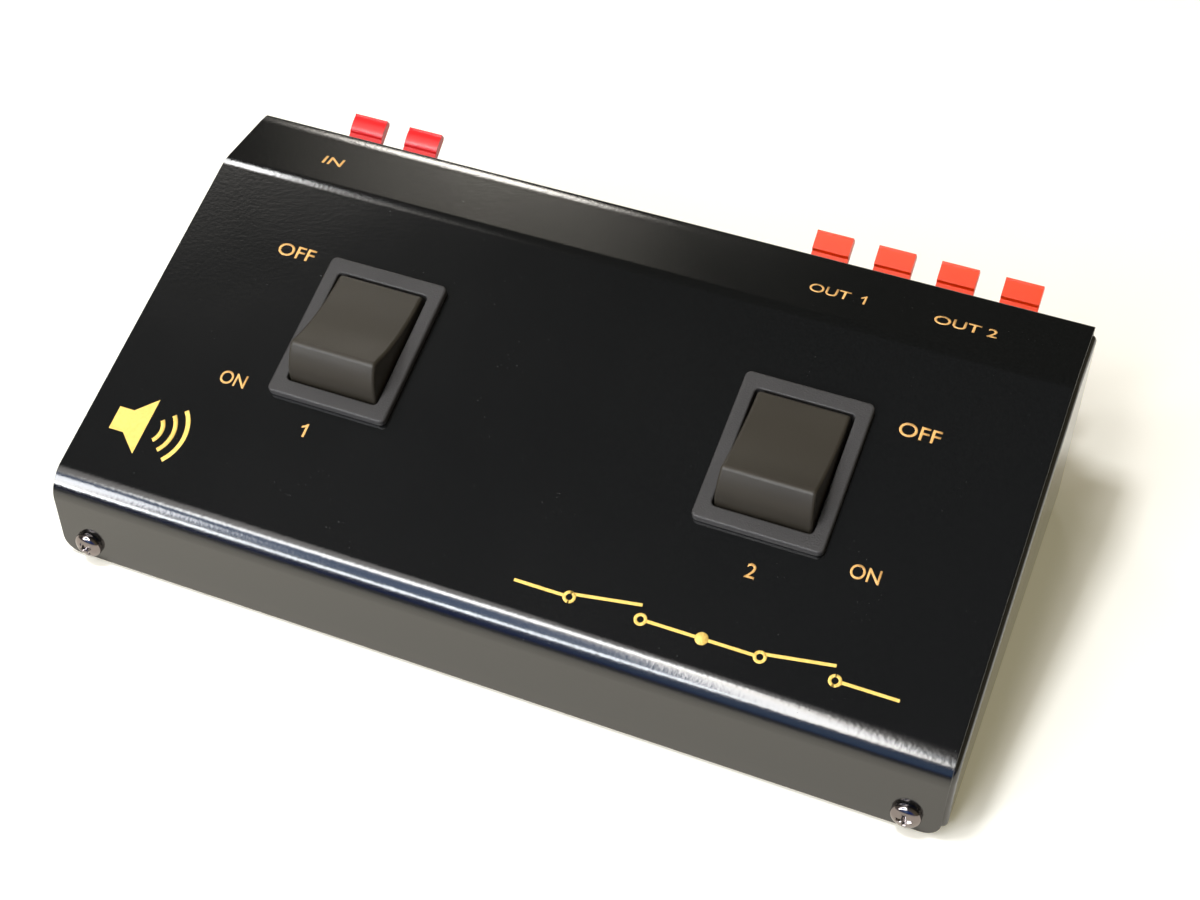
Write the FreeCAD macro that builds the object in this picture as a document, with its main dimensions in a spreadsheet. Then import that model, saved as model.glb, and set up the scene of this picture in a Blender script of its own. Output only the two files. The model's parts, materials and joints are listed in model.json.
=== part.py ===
import FreeCAD, Part
import math
import os
import re

import Sketcher
from FreeCAD import Placement, Rotation, Vector

# A two-way loudspeaker selector: a bent steel cover over a steel tray, two rocker switches on
# the sloping panel and two blocks of sprung push terminals in the rear wall.
# Frame: +X to the right, +Y to the rear, +Z up, in millimetres. The origin is the middle of the
# outline, on the surface that the four feet stand on.

SIZES = {
    # folded steel case
    "cover_width": 180.0,
    "cover_depth": 92.5,
    "cover_rear_height": 46.0,
    "cover_front_height": 18.75,
    "shelf_depth": 18.4,
    "sheet": 1.0,
    "sheet_gap": 0.1,
    "front_bend": 3.5,
    "crease_bend": 8.0,
    "rear_bend": 1.5,
    "cover_corner": 3.5,
    "base_overhang": 0.9,
    "base_lift": 1.0,
    "base_bend": 1.2,
    "base_corner": 1.5,
    "flange_width": 12.0,
    "rear_tab_width": 8.5,
    "rear_tab_height": 8.0,
    "relief": 1.6,
    # rubber feet
    "foot_radius": 5.0,
    "foot_thickness": 1.8,
    "foot_round": 0.6,
    "foot_inset_side": 14.0,
    "foot_inset_end": 13.0,
    # pan-head machine screws
    "screw_radius": 1.45,
    "screw_length": 7.0,
    "screw_tip": 0.36,
    "thread_gap": 0.05,
    "screw_hole_gap": 0.25,
    "head_radius": 2.85,
    "head_height": 2.0,
    "head_crown": 1.2,
    "recess_span": 1.6,
    "recess_width": 0.8,
    "recess_depth": 1.2,
    "cover_screw_height": 4.1,
    "front_screw_inset": 6.3,
    "rear_screw_inset": 4.0,
    # rocker switch, in the frame of the sloping panel
    "switch_spread": 44.0,
    "switch_drop": 31.95,
    "bezel_width": 25.4,
    "bezel_length": 32.0,
    "bezel_height": 1.7,
    "bezel_corner": 1.2,
    "bezel_edge": 0.5,
    "opening_width": 19.6,
    "opening_length": 25.5,
    "opening_corner": 1.2,
    "opening_edge": 0.35,
    "side_wall": 1.1,
    "end_wall": 1.35,
    "housing_depth": 19.0,
    "housing_floor": 1.5,
    "cutout_gap": 0.2,
    "latch_width": 8.0,
    "latch_reach": 0.75,
    "latch_length": 4.0,
    "latch_gap": 0.15,
    # rocker
    "pivot_depth": 0.8,
    "rocker_side_gap": 0.35,
    "rocker_end_gap": 0.35,
    "rocker_taper": 3.4,
    "ridge_angle": 56.5,
    "skirt_angle": 114.0,
    "rocker_sag": 1.4,
    "rocker_edge": 0.6,
    "rocker_tilt": 18.0,
    "rocker_skin": 1.5,
    "pin_radius": 1.2,
    "pin_length": 1.0,
    "pin_gap": 0.05,
    "rib_half": 2.7,
    "rib_depth": 6.4,
    "rib_crown": 3.4,
    # plungers and their springs
    "pole_spread": 4.6,
    "plunger_radius": 1.5,
    "plunger_reach": 9.0,
    "plunger_length": 5.5,
    "nose_flat": 0.03,
    "bore_gap": 0.05,
    "bore_top": 2.0,
    "coil_wire": 0.2,
    "coil_gap": 0.12,
    "coil_turns": 5.0,
    "coil_seat_gap": 0.1,
    # see-saw contacts
    "seesaw_drop": 3.41,
    "seesaw_width": 4.6,
    "seesaw_length": 8.5,
    "seesaw_ratio": 0.444444,
    "seesaw_web": 1.6,
    "vee_angle": 18.0,
    "vee_half": 4.0,
    "arm_start": 5.4,
    "arm_top": 1.9,
    "arm_thickness": 0.8,
    "contact_radius": 1.1,
    "contact_height": 0.4,
    "contact_reach": 7.2,
    "contact_gap": 0.1,
    # blade terminals of the switch
    "blade_thickness": 0.8,
    "blade_width": 4.8,
    "blade_below": 6.3,
    "blade_hole": 0.9,
    "blade_slot_gap": 0.05,
    "cradle_gap": 0.05,
    # push-terminal blocks, in the frame of the rear wall
    "input_block_inset": 24.0,
    "output_block_inset": 36.0,
    "cell_pitch": 13.2,
    "row_pitch": 14.2,
    "block_top_drop": 8.5,
    "block_margin": 1.0,
    "block_flange": 5.0,
    "block_depth": 13.0,
    "block_cutout_gap": 0.25,
    "block_corner": 1.2,
    "block_edge": 0.4,
    "ear_width": 6.4,
    "ear_height": 11.0,
    "ear_thickness": 3.0,
    "ear_corner": 2.4,
    "chamber_drop": 11.0,
    "chamber_width": 8.4,
    "chamber_height": 7.3,
    "funnel_drop": 19.1,
    "funnel_width": 5.2,
    "funnel_height": 4.8,
    "funnel_depth": 3.8,
    "wire_hole_radius": 1.5,
    "cell_floor_drop": 24.2,
    "cell_front_wall": 5.2,
    "block_bottom_wall": 1.5,
    "back_board": 1.6,
    # terminal levers
    "lever_width": 7.8,
    "lever_hub": 1.9,
    "lever_pivot_out": 3.0,
    "lever_pivot_drop": 15.5,
    "lever_angle": 36.4,
    "lever_length": 14.8,
    "lever_thickness": 2.2,
    "lever_tail": 3.2,
    "lever_tail_thickness": 1.2,
    "lever_pin_radius": 0.95,
    "lever_pin_length": 0.9,
    "lever_step": 10.3,
    "lever_valley": 0.45,
    "lever_valley_round": 1.5,
    "lever_lip": 0.15,
    "lever_lip_width": 0.75,
    "lever_round": 0.5,
    # contact strips, clamp springs, nuts
    "strip_width": 5.0,
    "strip_thickness": 0.6,
    "strip_front": 1.0,
    "strip_tail": 5.0,
    "strip_hole": 0.8,
    "leaf_thickness": 0.35,
    "leaf_gap": 0.1,
    "leaf_rear": 11.2,
    "leaf_crown_drop": 12.4,
    "leaf_shoulder": 3.4,
    "leaf_knee_drop": 16.4,
    "leaf_knee": 0.1,
    "leaf_toe": 3.0,
    "leaf_bend": 1.6,
    "nut_flats": 5.5,
    "nut_height": 2.4,
    # insulated wires
    "wire_radius": 0.9,
    "wire_end_gap": 0.1,
}

# Places that follow from the sizes; each is a formula in a second sheet.
PLACES = {
    "cover_bottom": "foot_thickness - base_lift",
    "lever_reach": "lever_pivot_out + lever_length * cos(lever_angle)"
    " + (lever_thickness - lever_hub) * sin(lever_angle)",
    "front_face": "(head_height - cover_depth - lever_reach) / 2",
    "rear_face": "front_face + cover_depth",
    "cover_top": "cover_bottom + cover_rear_height",
    "crease": "rear_face - shelf_depth",
    "slope": "atan((cover_rear_height - cover_front_height) / (cover_depth - shelf_depth)) / 1deg",
    "front_screw_spread": "cover_width / 2 - front_screw_inset",
    "rear_screw_spread": "cover_width / 2 - rear_screw_inset",
    "base_width": "cover_width + 2 * base_overhang",
    "base_top": "foot_thickness + sheet",
    "lining": "sheet + sheet_gap",
    "screw_level": "cover_bottom + cover_screw_height",
    "panel_middle": "crease - switch_drop * cos(slope)",
    "panel_height": "cover_top - switch_drop * sin(slope)",
    "housing_width": "opening_width + 2 * side_wall",
    "housing_length": "opening_length + 2 * end_wall",
    "rocker_half": "opening_width / 2 - rocker_side_gap",
    "rocker_radius": "opening_length / 2 - rocker_end_gap",
    "pivot_back": "panel_middle + pivot_depth * sin(slope)",
    "pivot_height": "panel_height - pivot_depth * cos(slope)",
    "seesaw_depth": "plunger_reach + seesaw_drop",
    "seesaw_back": "pivot_back + seesaw_depth * sin(slope)",
    "seesaw_height": "pivot_height - seesaw_depth * cos(slope)",
    "fulcrum_radius": "blade_thickness / 2",
    "seesaw_tilt": "rocker_tilt * seesaw_ratio",
    "input_block_place": "input_block_inset - cover_width / 2",
    "output_block_place": "cover_width / 2 - output_block_inset",
    "block_height": "row_pitch + cell_floor_drop - block_top_drop + block_bottom_wall",
    "block_middle_drop": "block_top_drop + block_height / 2",
    "block_middle": "cover_top - block_middle_drop",
}

WALLS_PER_CUT = 6
NUT_SIDES = 6
COIL_SIDES = 8
SAME_PLACE = 0.002
VOLUME_SHARE = 0.01

doc = FreeCAD.newDocument("speaker_selector")
sizes = doc.addObject("Spreadsheet::Sheet", "Sizes")
places = doc.addObject("Spreadsheet::Sheet", "Places")


def bound(text):
    """The expression with each size's or place's name led by its sheet."""

    def lead(match):
        word = match.group()
        if word in SIZES:
            return "Sizes." + word
        return "Places." + word if word in PLACES else word

    return re.sub(r"[a-z_]{3,}", lead, str(text))


def fill_sheets():
    for row, (alias, value) in enumerate(SIZES.items(), start=1):
        sizes.set(f"A{row}", str(value))
        sizes.setAlias(f"A{row}", alias)
    doc.recompute()
    for row, (alias, formula) in enumerate(PLACES.items(), start=1):
        places.set(f"A{row}", "=" + bound(formula).replace("Places.", ""))
        places.setAlias(f"A{row}", alias)
    doc.recompute()


def number(text):
    """The present value of an expression, in millimetres or degrees."""
    found = sizes.evalExpression(bound(text))
    return float(getattr(found, "Value", found))


# ---------------------------------------------------------------- PartDesign helpers


def new_body(label):
    body = doc.addObject("PartDesign::Body", label)
    body.Label = label
    return body


def place(thing, x="0", y="0", z="0", tilt="0"):
    """Puts a piece at a point, turned by tilt degrees about X."""
    thing.Placement = Placement(Vector(), Rotation(Vector(1, 0, 0), 1))
    thing.setExpression("Placement.Base.x", bound(x))
    thing.setExpression("Placement.Base.y", bound(y))
    thing.setExpression("Placement.Base.z", bound(z))
    thing.setExpression("Placement.Rotation.Angle", bound(tilt))
    doc.recompute()
    return thing


def new_sketch(body, role, offset="0"):
    """A sketch on one of the body's own planes, moved along the plane's normal."""
    sketch = body.newObject("Sketcher::SketchObject", body.Label + "_sketch")
    plane = [item for item in body.Origin.OriginFeatures if item.Role == role][0]
    sketch.AttachmentSupport = [(plane, "")]
    sketch.MapMode = "FlatFace"
    sketch.setExpression("AttachmentOffset.Base.z", bound(offset))
    return sketch


def polygon(sketch, corners):
    """A closed outline whose corners are pairs of expressions."""
    points = [Vector(number(x), number(y), 0) for x, y in corners]
    first = sketch.GeometryCount
    count = len(points)
    for index, point in enumerate(points):
        sketch.addGeometry(Part.LineSegment(point, points[(index + 1) % count]))
    for index in range(count):
        here, following = first + index, first + (index + 1) % count
        sketch.addConstraint(Sketcher.Constraint("Coincident", here, 2, following, 1))
    for index, (x, y) in enumerate(corners):
        for axis, text in (("DistanceX", x), ("DistanceY", y)):
            rule = Sketcher.Constraint(axis, -1, 1, first + index, 1, number(text))
            sketch.setExpression(f"Constraints[{sketch.addConstraint(rule)}]", bound(text))


def rectangle(sketch, left, low, right, high):
    polygon(sketch, [(left, low), (right, low), (right, high), (left, high)])


def circle(sketch, x, y, radius):
    shape = Part.Circle(Vector(number(x), number(y), 0), Vector(0, 0, 1), number(radius))
    ring = sketch.addGeometry(shape)
    for axis, text in (("DistanceX", x), ("DistanceY", y)):
        rule = Sketcher.Constraint(axis, -1, 1, ring, 3, number(text))
        sketch.setExpression(f"Constraints[{sketch.addConstraint(rule)}]", bound(text))
    rule = Sketcher.Constraint("Radius", ring, number(radius))
    sketch.setExpression(f"Constraints[{sketch.addConstraint(rule)}]", bound(radius))


def pad(body, sketch, length, both=False, back=False):
    feature = body.newObject("PartDesign::Pad", body.Label + "_pad")
    feature.Profile = sketch
    feature.setExpression("Length", bound(length))
    feature.SideType = "Symmetric" if both else "One side"
    feature.Reversed = back
    doc.recompute()
    return feature


def pocket(body, sketch, length, both=False, back=False):
    before = body.Shape.Volume
    feature = body.newObject("PartDesign::Pocket", body.Label + "_pocket")
    feature.Profile = sketch
    feature.setExpression("Length", bound(length))
    feature.SideType = "Symmetric" if both else "One side"
    feature.Reversed = back
    doc.recompute()
    if body.Shape.Volume >= before:
        raise ValueError(f"{feature.Name} removes nothing")
    return feature


def pierce(body, sketch, wall):
    """A cut to both sides of its sketch, long enough to go through a wall that thick."""
    return pocket(body, sketch, f"{WALLS_PER_CUT} * ({wall})", both=True)


def chosen(body, wanted):
    """The names of the edges of the body's present shape that the test accepts."""
    shape = body.Tip.Shape
    return [f"Edge{i}" for i, edge in enumerate(shape.Edges, start=1) if wanted(edge)]


def soften(body, kind, size, wanted):
    """A Fillet or a Chamfer on the edges that the test accepts."""
    names = chosen(body, wanted)
    if not names:
        raise ValueError(f"{body.Label}: no edge for {kind} {size}")
    base = body.Tip
    feature = body.newObject("PartDesign::" + kind, body.Label + "_" + kind)
    feature.Base = (base, names)
    feature.setExpression("Radius" if kind == "Fillet" else "Size", bound(size))
    doc.recompute()
    return feature


def close(a, b):
    return abs(a - b) < SAME_PLACE


def runs_along(edge, axis):
    """Is the edge straight, and parallel to the axis numbered 0, 1 or 2?"""
    if edge.Curve.TypeId != "Part::GeomLine":
        return False
    return close(abs(edge.Curve.Direction[axis]), 1)


def edge_at(axis, spots):
    """A test for straight edges along an axis through one of the spots, given as (first, second)
    expressions for the two other coordinates."""
    values = [(number(a), number(b)) for a, b in spots]
    others = [index for index in range(3) if index != axis]

    def wanted(edge):
        middle = edge.CenterOfMass
        at = (middle[others[0]], middle[others[1]])
        return runs_along(edge, axis) and any(close(at[0], a) and close(at[1], b) for a, b in values)

    return wanted


def in_plane(axis, level):
    """A test for edges that lie wholly in the plane where the coordinate has this value."""
    value = number(level)

    def wanted(edge):
        return all(close(vertex.Point[axis], value) for vertex in edge.Vertexes) and close(
            edge.CenterOfMass[axis], value
        )

    return wanted


def copies(label, source, spots):
    """One node of several equal solids: the source piece repeated at each spot."""
    made = []
    for spot in spots:
        link = doc.addObject("App::Link", label + "_copy")
        link.LinkedObject = source
        link.LinkTransform = True
        place(link, *spot)
        made.append(link)
    group = doc.addObject("Part::Compound", label)
    group.Label = label
    group.Links = made
    doc.recompute()
    return group


# ---------------------------------------------------------------- the folded case


def case_profile(inset, bottom):
    """The case's outline seen from its side, inset from the cover's outer faces."""
    front =f"front_face + ({inset})"
    rear = f"rear_face - ({inset})"
    top = f"cover_top - ({inset})"
    front_top = (
        f"cover_bottom + cover_front_height + ({inset}) * tan(slope) - ({inset}) / cos(slope)"
    )
    return [
        (front, bottom),
        (front, front_top),
        (f"crease + ({inset}) * tan(slope / 2)", top),
        (rear, top),
        (rear, bottom),
    ]


def bend_spots(profile):
    """The (y, z) expressions of the front bend, the crease and the rear bend."""
    return profile[1], profile[2], profile[3]


def slope_sketch(body):
    """A sketch in the plane of the sloping panel's outer face, centred between the switches."""
    sketch = new_sketch(body, "XY_Plane")
    sketch.AttachmentOffset = Placement(Vector(), Rotation(Vector(1, 0, 0), 1))
    sketch.setExpression("AttachmentOffset.Base.y", bound("panel_middle"))
    sketch.setExpression("AttachmentOffset.Base.z", bound("panel_height"))
    sketch.setExpression("AttachmentOffset.Rotation.Angle", bound("slope"))
    return sketch


def top_cover():
    body = new_body("top_cover")
    outer = case_profile("0", "cover_bottom")
    inner = case_profile("sheet", "cover_bottom")
    sketch = new_sketch(body, "YZ_Plane")
    polygon(sketch, outer + inner[::-1])
    pad(body, sketch, "cover_width", both=True)
    for name, outside, inside in zip(
        ("front_bend", "crease_bend", "rear_bend"), bend_spots(outer), bend_spots(inner)
    ):
        soften(body, "Fillet", name, edge_at(0, [outside]))
        soften(body, "Fillet", f"{name} - sheet", edge_at(0, [inside]))
    corners = [(x, "cover_bottom") for x in ("-cover_width / 2", "cover_width / 2")]
    wall_ends = [number(y) for y in ("front_face + sheet / 2", "rear_face - sheet / 2")]

    def wall_corner(edge):
        on_wall = any(close(edge.CenterOfMass.y, y) for y in wall_ends)
        return on_wall and edge_at(1, corners)(edge)

    soften(body, "Fillet", "cover_corner", wall_corner)
    panel = slope_sketch(body)
    half_x = "(housing_width / 2 + cutout_gap)"
    half_y = "(housing_length / 2 + cutout_gap)"
    for middle in ("-switch_spread", "switch_spread"):
        rectangle(panel, f"{middle} - {half_x}", f"-{half_y}", f"{middle} + {half_x}", half_y)
    pierce(body, panel, "sheet")
    hole = "screw_radius + screw_hole_gap"
    front = new_sketch(body, "XZ_Plane", "-front_face")
    for side in ("-", ""):
        circle(front, f"{side}front_screw_spread", "screw_level", hole)
    pierce(body, front, "sheet")
    rear = new_sketch(body, "XZ_Plane", "-rear_face")
    for side in ("-", ""):
        circle(rear, f"{side}rear_screw_spread", "screw_level", hole)
    for middle, columns in (("input_block_place", 2), ("output_block_place", 4)):
        half = f"({columns} * cell_pitch / 2 + block_cutout_gap)"
        low = "block_middle - block_height / 2 - block_cutout_gap"
        high = "block_middle + block_height / 2 + block_cutout_gap"
        rectangle(rear, f"{middle} - {half}", low, f"{middle} + {half}", high)
        for side in ("-", "+"):
            ear = f"{middle} {side} ({ear_place(columns)})"
            circle(rear, ear, "block_middle", hole)
    pierce(body, rear, "sheet")
    return body


def base_tray():
    """Bottom plate and side walls; the walls have flanges that carry the cover."""
    body = new_body("base_tray")
    profile = case_profile("lining", "foot_thickness")
    sketch = new_sketch(body, "YZ_Plane")
    polygon(sketch, profile)
    pad(body, sketch, "base_width", both=True)
    front, crease, rear = bend_spots(profile)
    soften(body, "Fillet", "front_bend - lining", edge_at(0, [front]))
    soften(body, "Fillet", "crease_bend - lining", edge_at(0, [crease]))
    soften(body, "Fillet", "base_corner", edge_at(0, [rear, profile[0], profile[4]]))
    left, right = in_plane(0, "-base_width / 2"), in_plane(0, "base_width / 2")
    soften(body, "Fillet", "base_bend", lambda edge: left(edge) or right(edge))
    hollow = new_sketch(body, "YZ_Plane")
    polygon(hollow, case_profile("lining + sheet", "base_top"))
    pocket(body, hollow, "base_width - 2 * sheet", both=True)
    window = new_sketch(body, "XY_Plane", "base_top")
    half = "(base_width / 2 - flange_width)"
    rectangle(window, f"-{half}", "front_face", half, "rear_face")
    pocket(body, window, "cover_rear_height", back=True)
    back = new_sketch(body, "XZ_Plane", "-rear_face")
    low, high = "base_top + rear_tab_height", "cover_top"
    wide, narrow = "(base_width / 2 - base_bend)", "(base_width / 2 - rear_tab_width)"
    polygon(
        back,
        [
            (f"-{wide}", high),
            (f"-{wide}", low),
            (f"-{narrow}", low),
            (f"-{narrow}", "base_top"),
            (narrow, "base_top"),
            (narrow, low),
            (wide, low),
            (wide, high),
        ],
    )
    pocket(body, back, "2 * (lining + sheet) + relief", both=True)
    notch = new_sketch(body, "YZ_Plane")
    inner = case_profile("lining + sheet", "base_top")
    rectangle(
        notch,
        "front_face",
        f"{inner[1][1]} - relief",
        "front_face + lining + sheet + relief",
        "cover_top",
    )
    rectangle(
        notch,
        f"{inner[2][0]} - relief / 2",
        f"{inner[2][1]} - relief",
        f"{inner[2][0]} + relief / 2",
        "cover_top",
    )
    pocket(body, notch, "base_width - 2 * base_bend", both=True)
    for level, spread in (("front_face", "front_screw_spread"), ("rear_face", "rear_screw_spread")):
        holes = new_sketch(body, "XZ_Plane", f"-({level})")
        for side in ("-", ""):
            circle(holes, f"{side}{spread}", "screw_level", "screw_radius + thread_gap")
        pierce(body, holes, "sheet")
    return body


def machine_screw(label, length):
    """A pan-head screw with a cross recess: its head's seat is at the origin, its shank runs
    towards +Y."""
    body = new_body(label)
    shank = new_sketch(body, "XZ_Plane")
    circle(shank, "0", "0", "screw_radius")
    pad(body, shank, length, back=True)
    head = new_sketch(body, "XZ_Plane")
    circle(head, "0", "0", "head_radius")
    pad(body, head, "head_height")
    soften(body, "Fillet", "head_crown", in_plane(1, "-head_height"))
    soften(body, "Chamfer", "screw_tip", in_plane(1, length))
    recess = new_sketch(body, "XZ_Plane", "head_height")
    span, half = "recess_span", "recess_width / 2"
    polygon(
        recess,
        [
            (f"-{half}", f"-{span}"),
            (half, f"-{span}"),
            (half, f"-{half}"),
            (span, f"-{half}"),
            (span, half),
            (half, half),
            (half, span),
            (f"-{half}", span),
            (f"-{half}", half),
            (f"-{span}", half),
            (f"-{span}", f"-{half}"),
            (f"-{half}", f"-{half}"),
        ],
    )
    pocket(body, recess, "recess_depth")
    return body


def turned(label, source):
    """The same piece turned half round about the upright axis."""
    link = doc.addObject("App::Link", label)
    link.LinkedObject = source
    link.LinkTransform = True
    link.Placement = Placement(Vector(), Rotation(Vector(0, 0, 1), 180))
    doc.recompute()
    wrapped = doc.addObject("Part::Compound", label + "_turned")
    wrapped.Links = [link]
    doc.recompute()
    return wrapped


def rubber_foot():
    body = new_body("rubber_foot")
    disc = new_sketch(body, "XY_Plane")
    circle(disc, "0", "0", "foot_radius")
    pad(body, disc, "foot_thickness")
    soften(body, "Fillet", "foot_round", in_plane(2, "0"))
    return body


# ---------------------------------------------------------------- rocker switches


def switch_place(number_text):
    """X of switch 1 or 2."""
    return "-switch_spread" if number_text == "1" else "switch_spread"


def switch_body(which):
    """Housing with its bezel; the panel's outer face is its XY plane."""
    body = new_body(f"switch_{which}_body")
    frame = new_sketch(body, "XY_Plane")
    rectangle(frame, "-bezel_width / 2", "-bezel_length / 2", "bezel_width / 2", "bezel_length / 2")
    pad(body, frame, "bezel_height")
    corners = [(x + "bezel_width / 2", y + "bezel_length / 2") for x in ("-", "") for y in ("-", "")]
    soften(body, "Fillet", "bezel_corner", edge_at(2, corners))
    soften(body, "Fillet", "bezel_edge", in_plane(2, "bezel_height"))
    box = new_sketch(body, "XY_Plane")
    rectangle(
        box, "-housing_width / 2", "-housing_length / 2", "housing_width / 2", "housing_length / 2"
    )
    pad(body, box, "housing_depth", back=True)
    latch = new_sketch(body, "YZ_Plane")
    for side in ("-", ""):
        wall = f"{side}housing_length / 2"
        nose = f"{side}(housing_length / 2 + latch_reach)"
        high = "-sheet - latch_gap"
        inside = f"{side}(housing_length / 2 - end_wall / 2)"
        polygon(
            latch,
            [
                (inside, high),
                (nose, high),
                (nose, f"{high} - latch_reach"),
                (wall, f"{high} - latch_length"),
                (inside, f"{high} - latch_length"),
            ],
        )
    pad(body, latch, "latch_width", both=True)
    well = new_sketch(body, "XY_Plane", "bezel_height")
    half_x, half_y = "opening_width / 2", "opening_length / 2"
    rectangle(well, f"-{half_x}", f"-{half_y}", half_x, half_y)
    pocket(body, well, "bezel_height + housing_depth - housing_floor")
    corners = [(x + half_x, y + half_y) for x in ("-", "") for y in ("-", "")]
    soften(body, "Fillet", "opening_corner", edge_at(2, corners))

    def mouth(edge):
        spot = edge.CenterOfMass
        inside = abs(spot.x) < number("opening_width / 2 + opening_edge")
        inside = inside and abs(spot.y) < number("opening_length / 2 + opening_edge")
        return inside and in_plane(2, "bezel_height")(edge)

    soften(body, "Fillet", "opening_edge", mouth)
    bearing = new_sketch(body, "YZ_Plane")
    circle(bearing, "0", "-pivot_depth", "pin_radius + pin_gap")
    pocket(body, bearing, "housing_width", both=True)
    slots = new_sketch(body, "XY_Plane", "-housing_depth")
    half_blade = "(blade_width / 2 + blade_slot_gap)"
    reach = "(blade_thickness / 2 + blade_slot_gap)"
    for pole in ("-pole_spread", "pole_spread"):
        for middle in ("0", "contact_reach"):
            rectangle(
                slots,
                f"{pole} - {half_blade}",
                f"{middle} - {reach}",
                f"{pole} + {half_blade}",
                f"{middle} + {reach}",
            )
    pocket(body, slots, "housing_floor", back=True)
    place(body, switch_place(which), "panel_middle", "panel_height", "slope")
    return body


def rocker(which):
    """A sector of a disc about its pivot with a hollow top; inside, a rib with two bores."""
    body = new_body(f"switch_{which}_rocker")
    disc = new_sketch(body, "YZ_Plane")
    circle(disc, "0", "0", "rocker_radius")
    pad(body, disc, "2 * rocker_half", both=True)
    dish = new_sketch(body, "YZ_Plane")
    ridge_out, ridge_up = "rocker_radius * sin(ridge_angle)", "rocker_radius * cos(ridge_angle)"
    dish_radius = f"((({ridge_out}) ^ 2 + rocker_sag ^ 2) / (2 * rocker_sag))"
    circle(dish, "0", f"{ridge_up} - rocker_sag + {dish_radius}", dish_radius)
    pierce(body, dish, "rocker_half")
    under = new_sketch(body, "YZ_Plane")
    skirt = "rocker_radius * cos(skirt_angle)"
    rectangle(under, "-rocker_radius", "-2 * rocker_radius", "rocker_radius", skirt)
    pierce(body, under, "rocker_half")
    lean = new_sketch(body, "XZ_Plane")
    for side in ("-", ""):
        wall, outside = f"{side}rocker_half", f"{side}2 * rocker_half"
        inner = f"{side}(rocker_half - rocker_radius * tan(rocker_taper))"
        polygon(
            lean,
            [(wall, "0"), (outside, "0"), (outside, "rocker_radius"), (inner, "rocker_radius")],
        )
    pierce(body, lean, "rocker_radius")
    level = number(ridge_up)

    def ridge(edge):
        return runs_along(edge, 0) and close(edge.CenterOfMass.z, level)

    soften(body, "Fillet", "rocker_edge", ridge)
    hollow = new_sketch(body, "YZ_Plane")
    floor, shell = "-rocker_radius", "(rocker_radius - rocker_skin)"
    for side in ("-", ""):
        corners = [
            ("rib_half", floor),
            ("rib_half", "rib_crown"),
            (f"{shell} * sin(ridge_angle)", "rib_crown"),
            (shell, "0"),
            (f"{shell} * sin(skirt_angle)", f"{shell} * cos(skirt_angle)"),
            (f"{shell} * sin(skirt_angle)", floor),
        ]
        polygon(hollow, [(f"{side}({y})", z) for y, z in corners])
    pocket(body, hollow, "2 * (rocker_half - rocker_skin)", both=True)
    rib = new_sketch(body, "YZ_Plane")
    rectangle(rib, "-rib_half", "-rib_depth", "rib_half", "0")
    pad(body, rib, "2 * (rocker_half - rocker_skin)", both=True)
    bores = new_sketch(body, "XY_Plane", "-rib_depth")
    for pole in ("-pole_spread", "pole_spread"):
        circle(bores, pole, "0", "plunger_radius + bore_gap")
    pocket(body, bores, "rib_depth + bore_top", back=True)
    for side in (False, True):
        pin = new_sketch(body, "YZ_Plane", f"{'-' if side else ''}(rocker_half - rocker_skin / 2)")
        circle(pin, "0", "0", "pin_radius")
        pad(body, pin, "pin_length + rocker_skin / 2", back=side)
    place(body, switch_place(which), "pivot_back", "pivot_height", "slope - rocker_tilt")
    return body


def plunger():
    """One round-nosed pin, in the rocker's frame."""
    body = new_body("plunger")
    disc = new_sketch(body, "XY_Plane", "-plunger_reach - plunger_radius")
    circle(disc, "0", "0", "plunger_radius")
    pad(body, disc, "plunger_length + plunger_radius")
    nose = in_plane(2, "-plunger_reach - plunger_radius")
    soften(body, "Fillet", "plunger_radius - nose_flat", nose)
    return body


def coil():
    """The plunger's spring between the plunger and the end of its bore."""
    wire = number("coil_wire")
    low = number("plunger_length - plunger_reach + coil_seat_gap") + wire
    high = number("bore_top - coil_seat_gap") - wire
    turn = number("plunger_radius - coil_gap") - wire
    pitch = (high - low) / number("coil_turns")
    helix = Part.makeHelix(pitch, high - low, turn)
    out = Vector(1, 0, 0)
    side = Vector(0, turn, pitch / math.tau).normalize().cross(out)
    angles = [math.tau * index / COIL_SIDES for index in range(COIL_SIDES + 1)]
    section = Part.makePolygon(
        [out * (turn + wire * math.cos(angle)) + side * (wire * math.sin(angle)) for angle in angles]
    )
    spring = doc.addObject("Part::Feature", "coil")
    shape = Part.Wire(helix.Edges).makePipeShell([section], True, True)
    shape.translate(Vector(0, 0, low))
    spring.Shape = shape
    return spring


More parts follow.
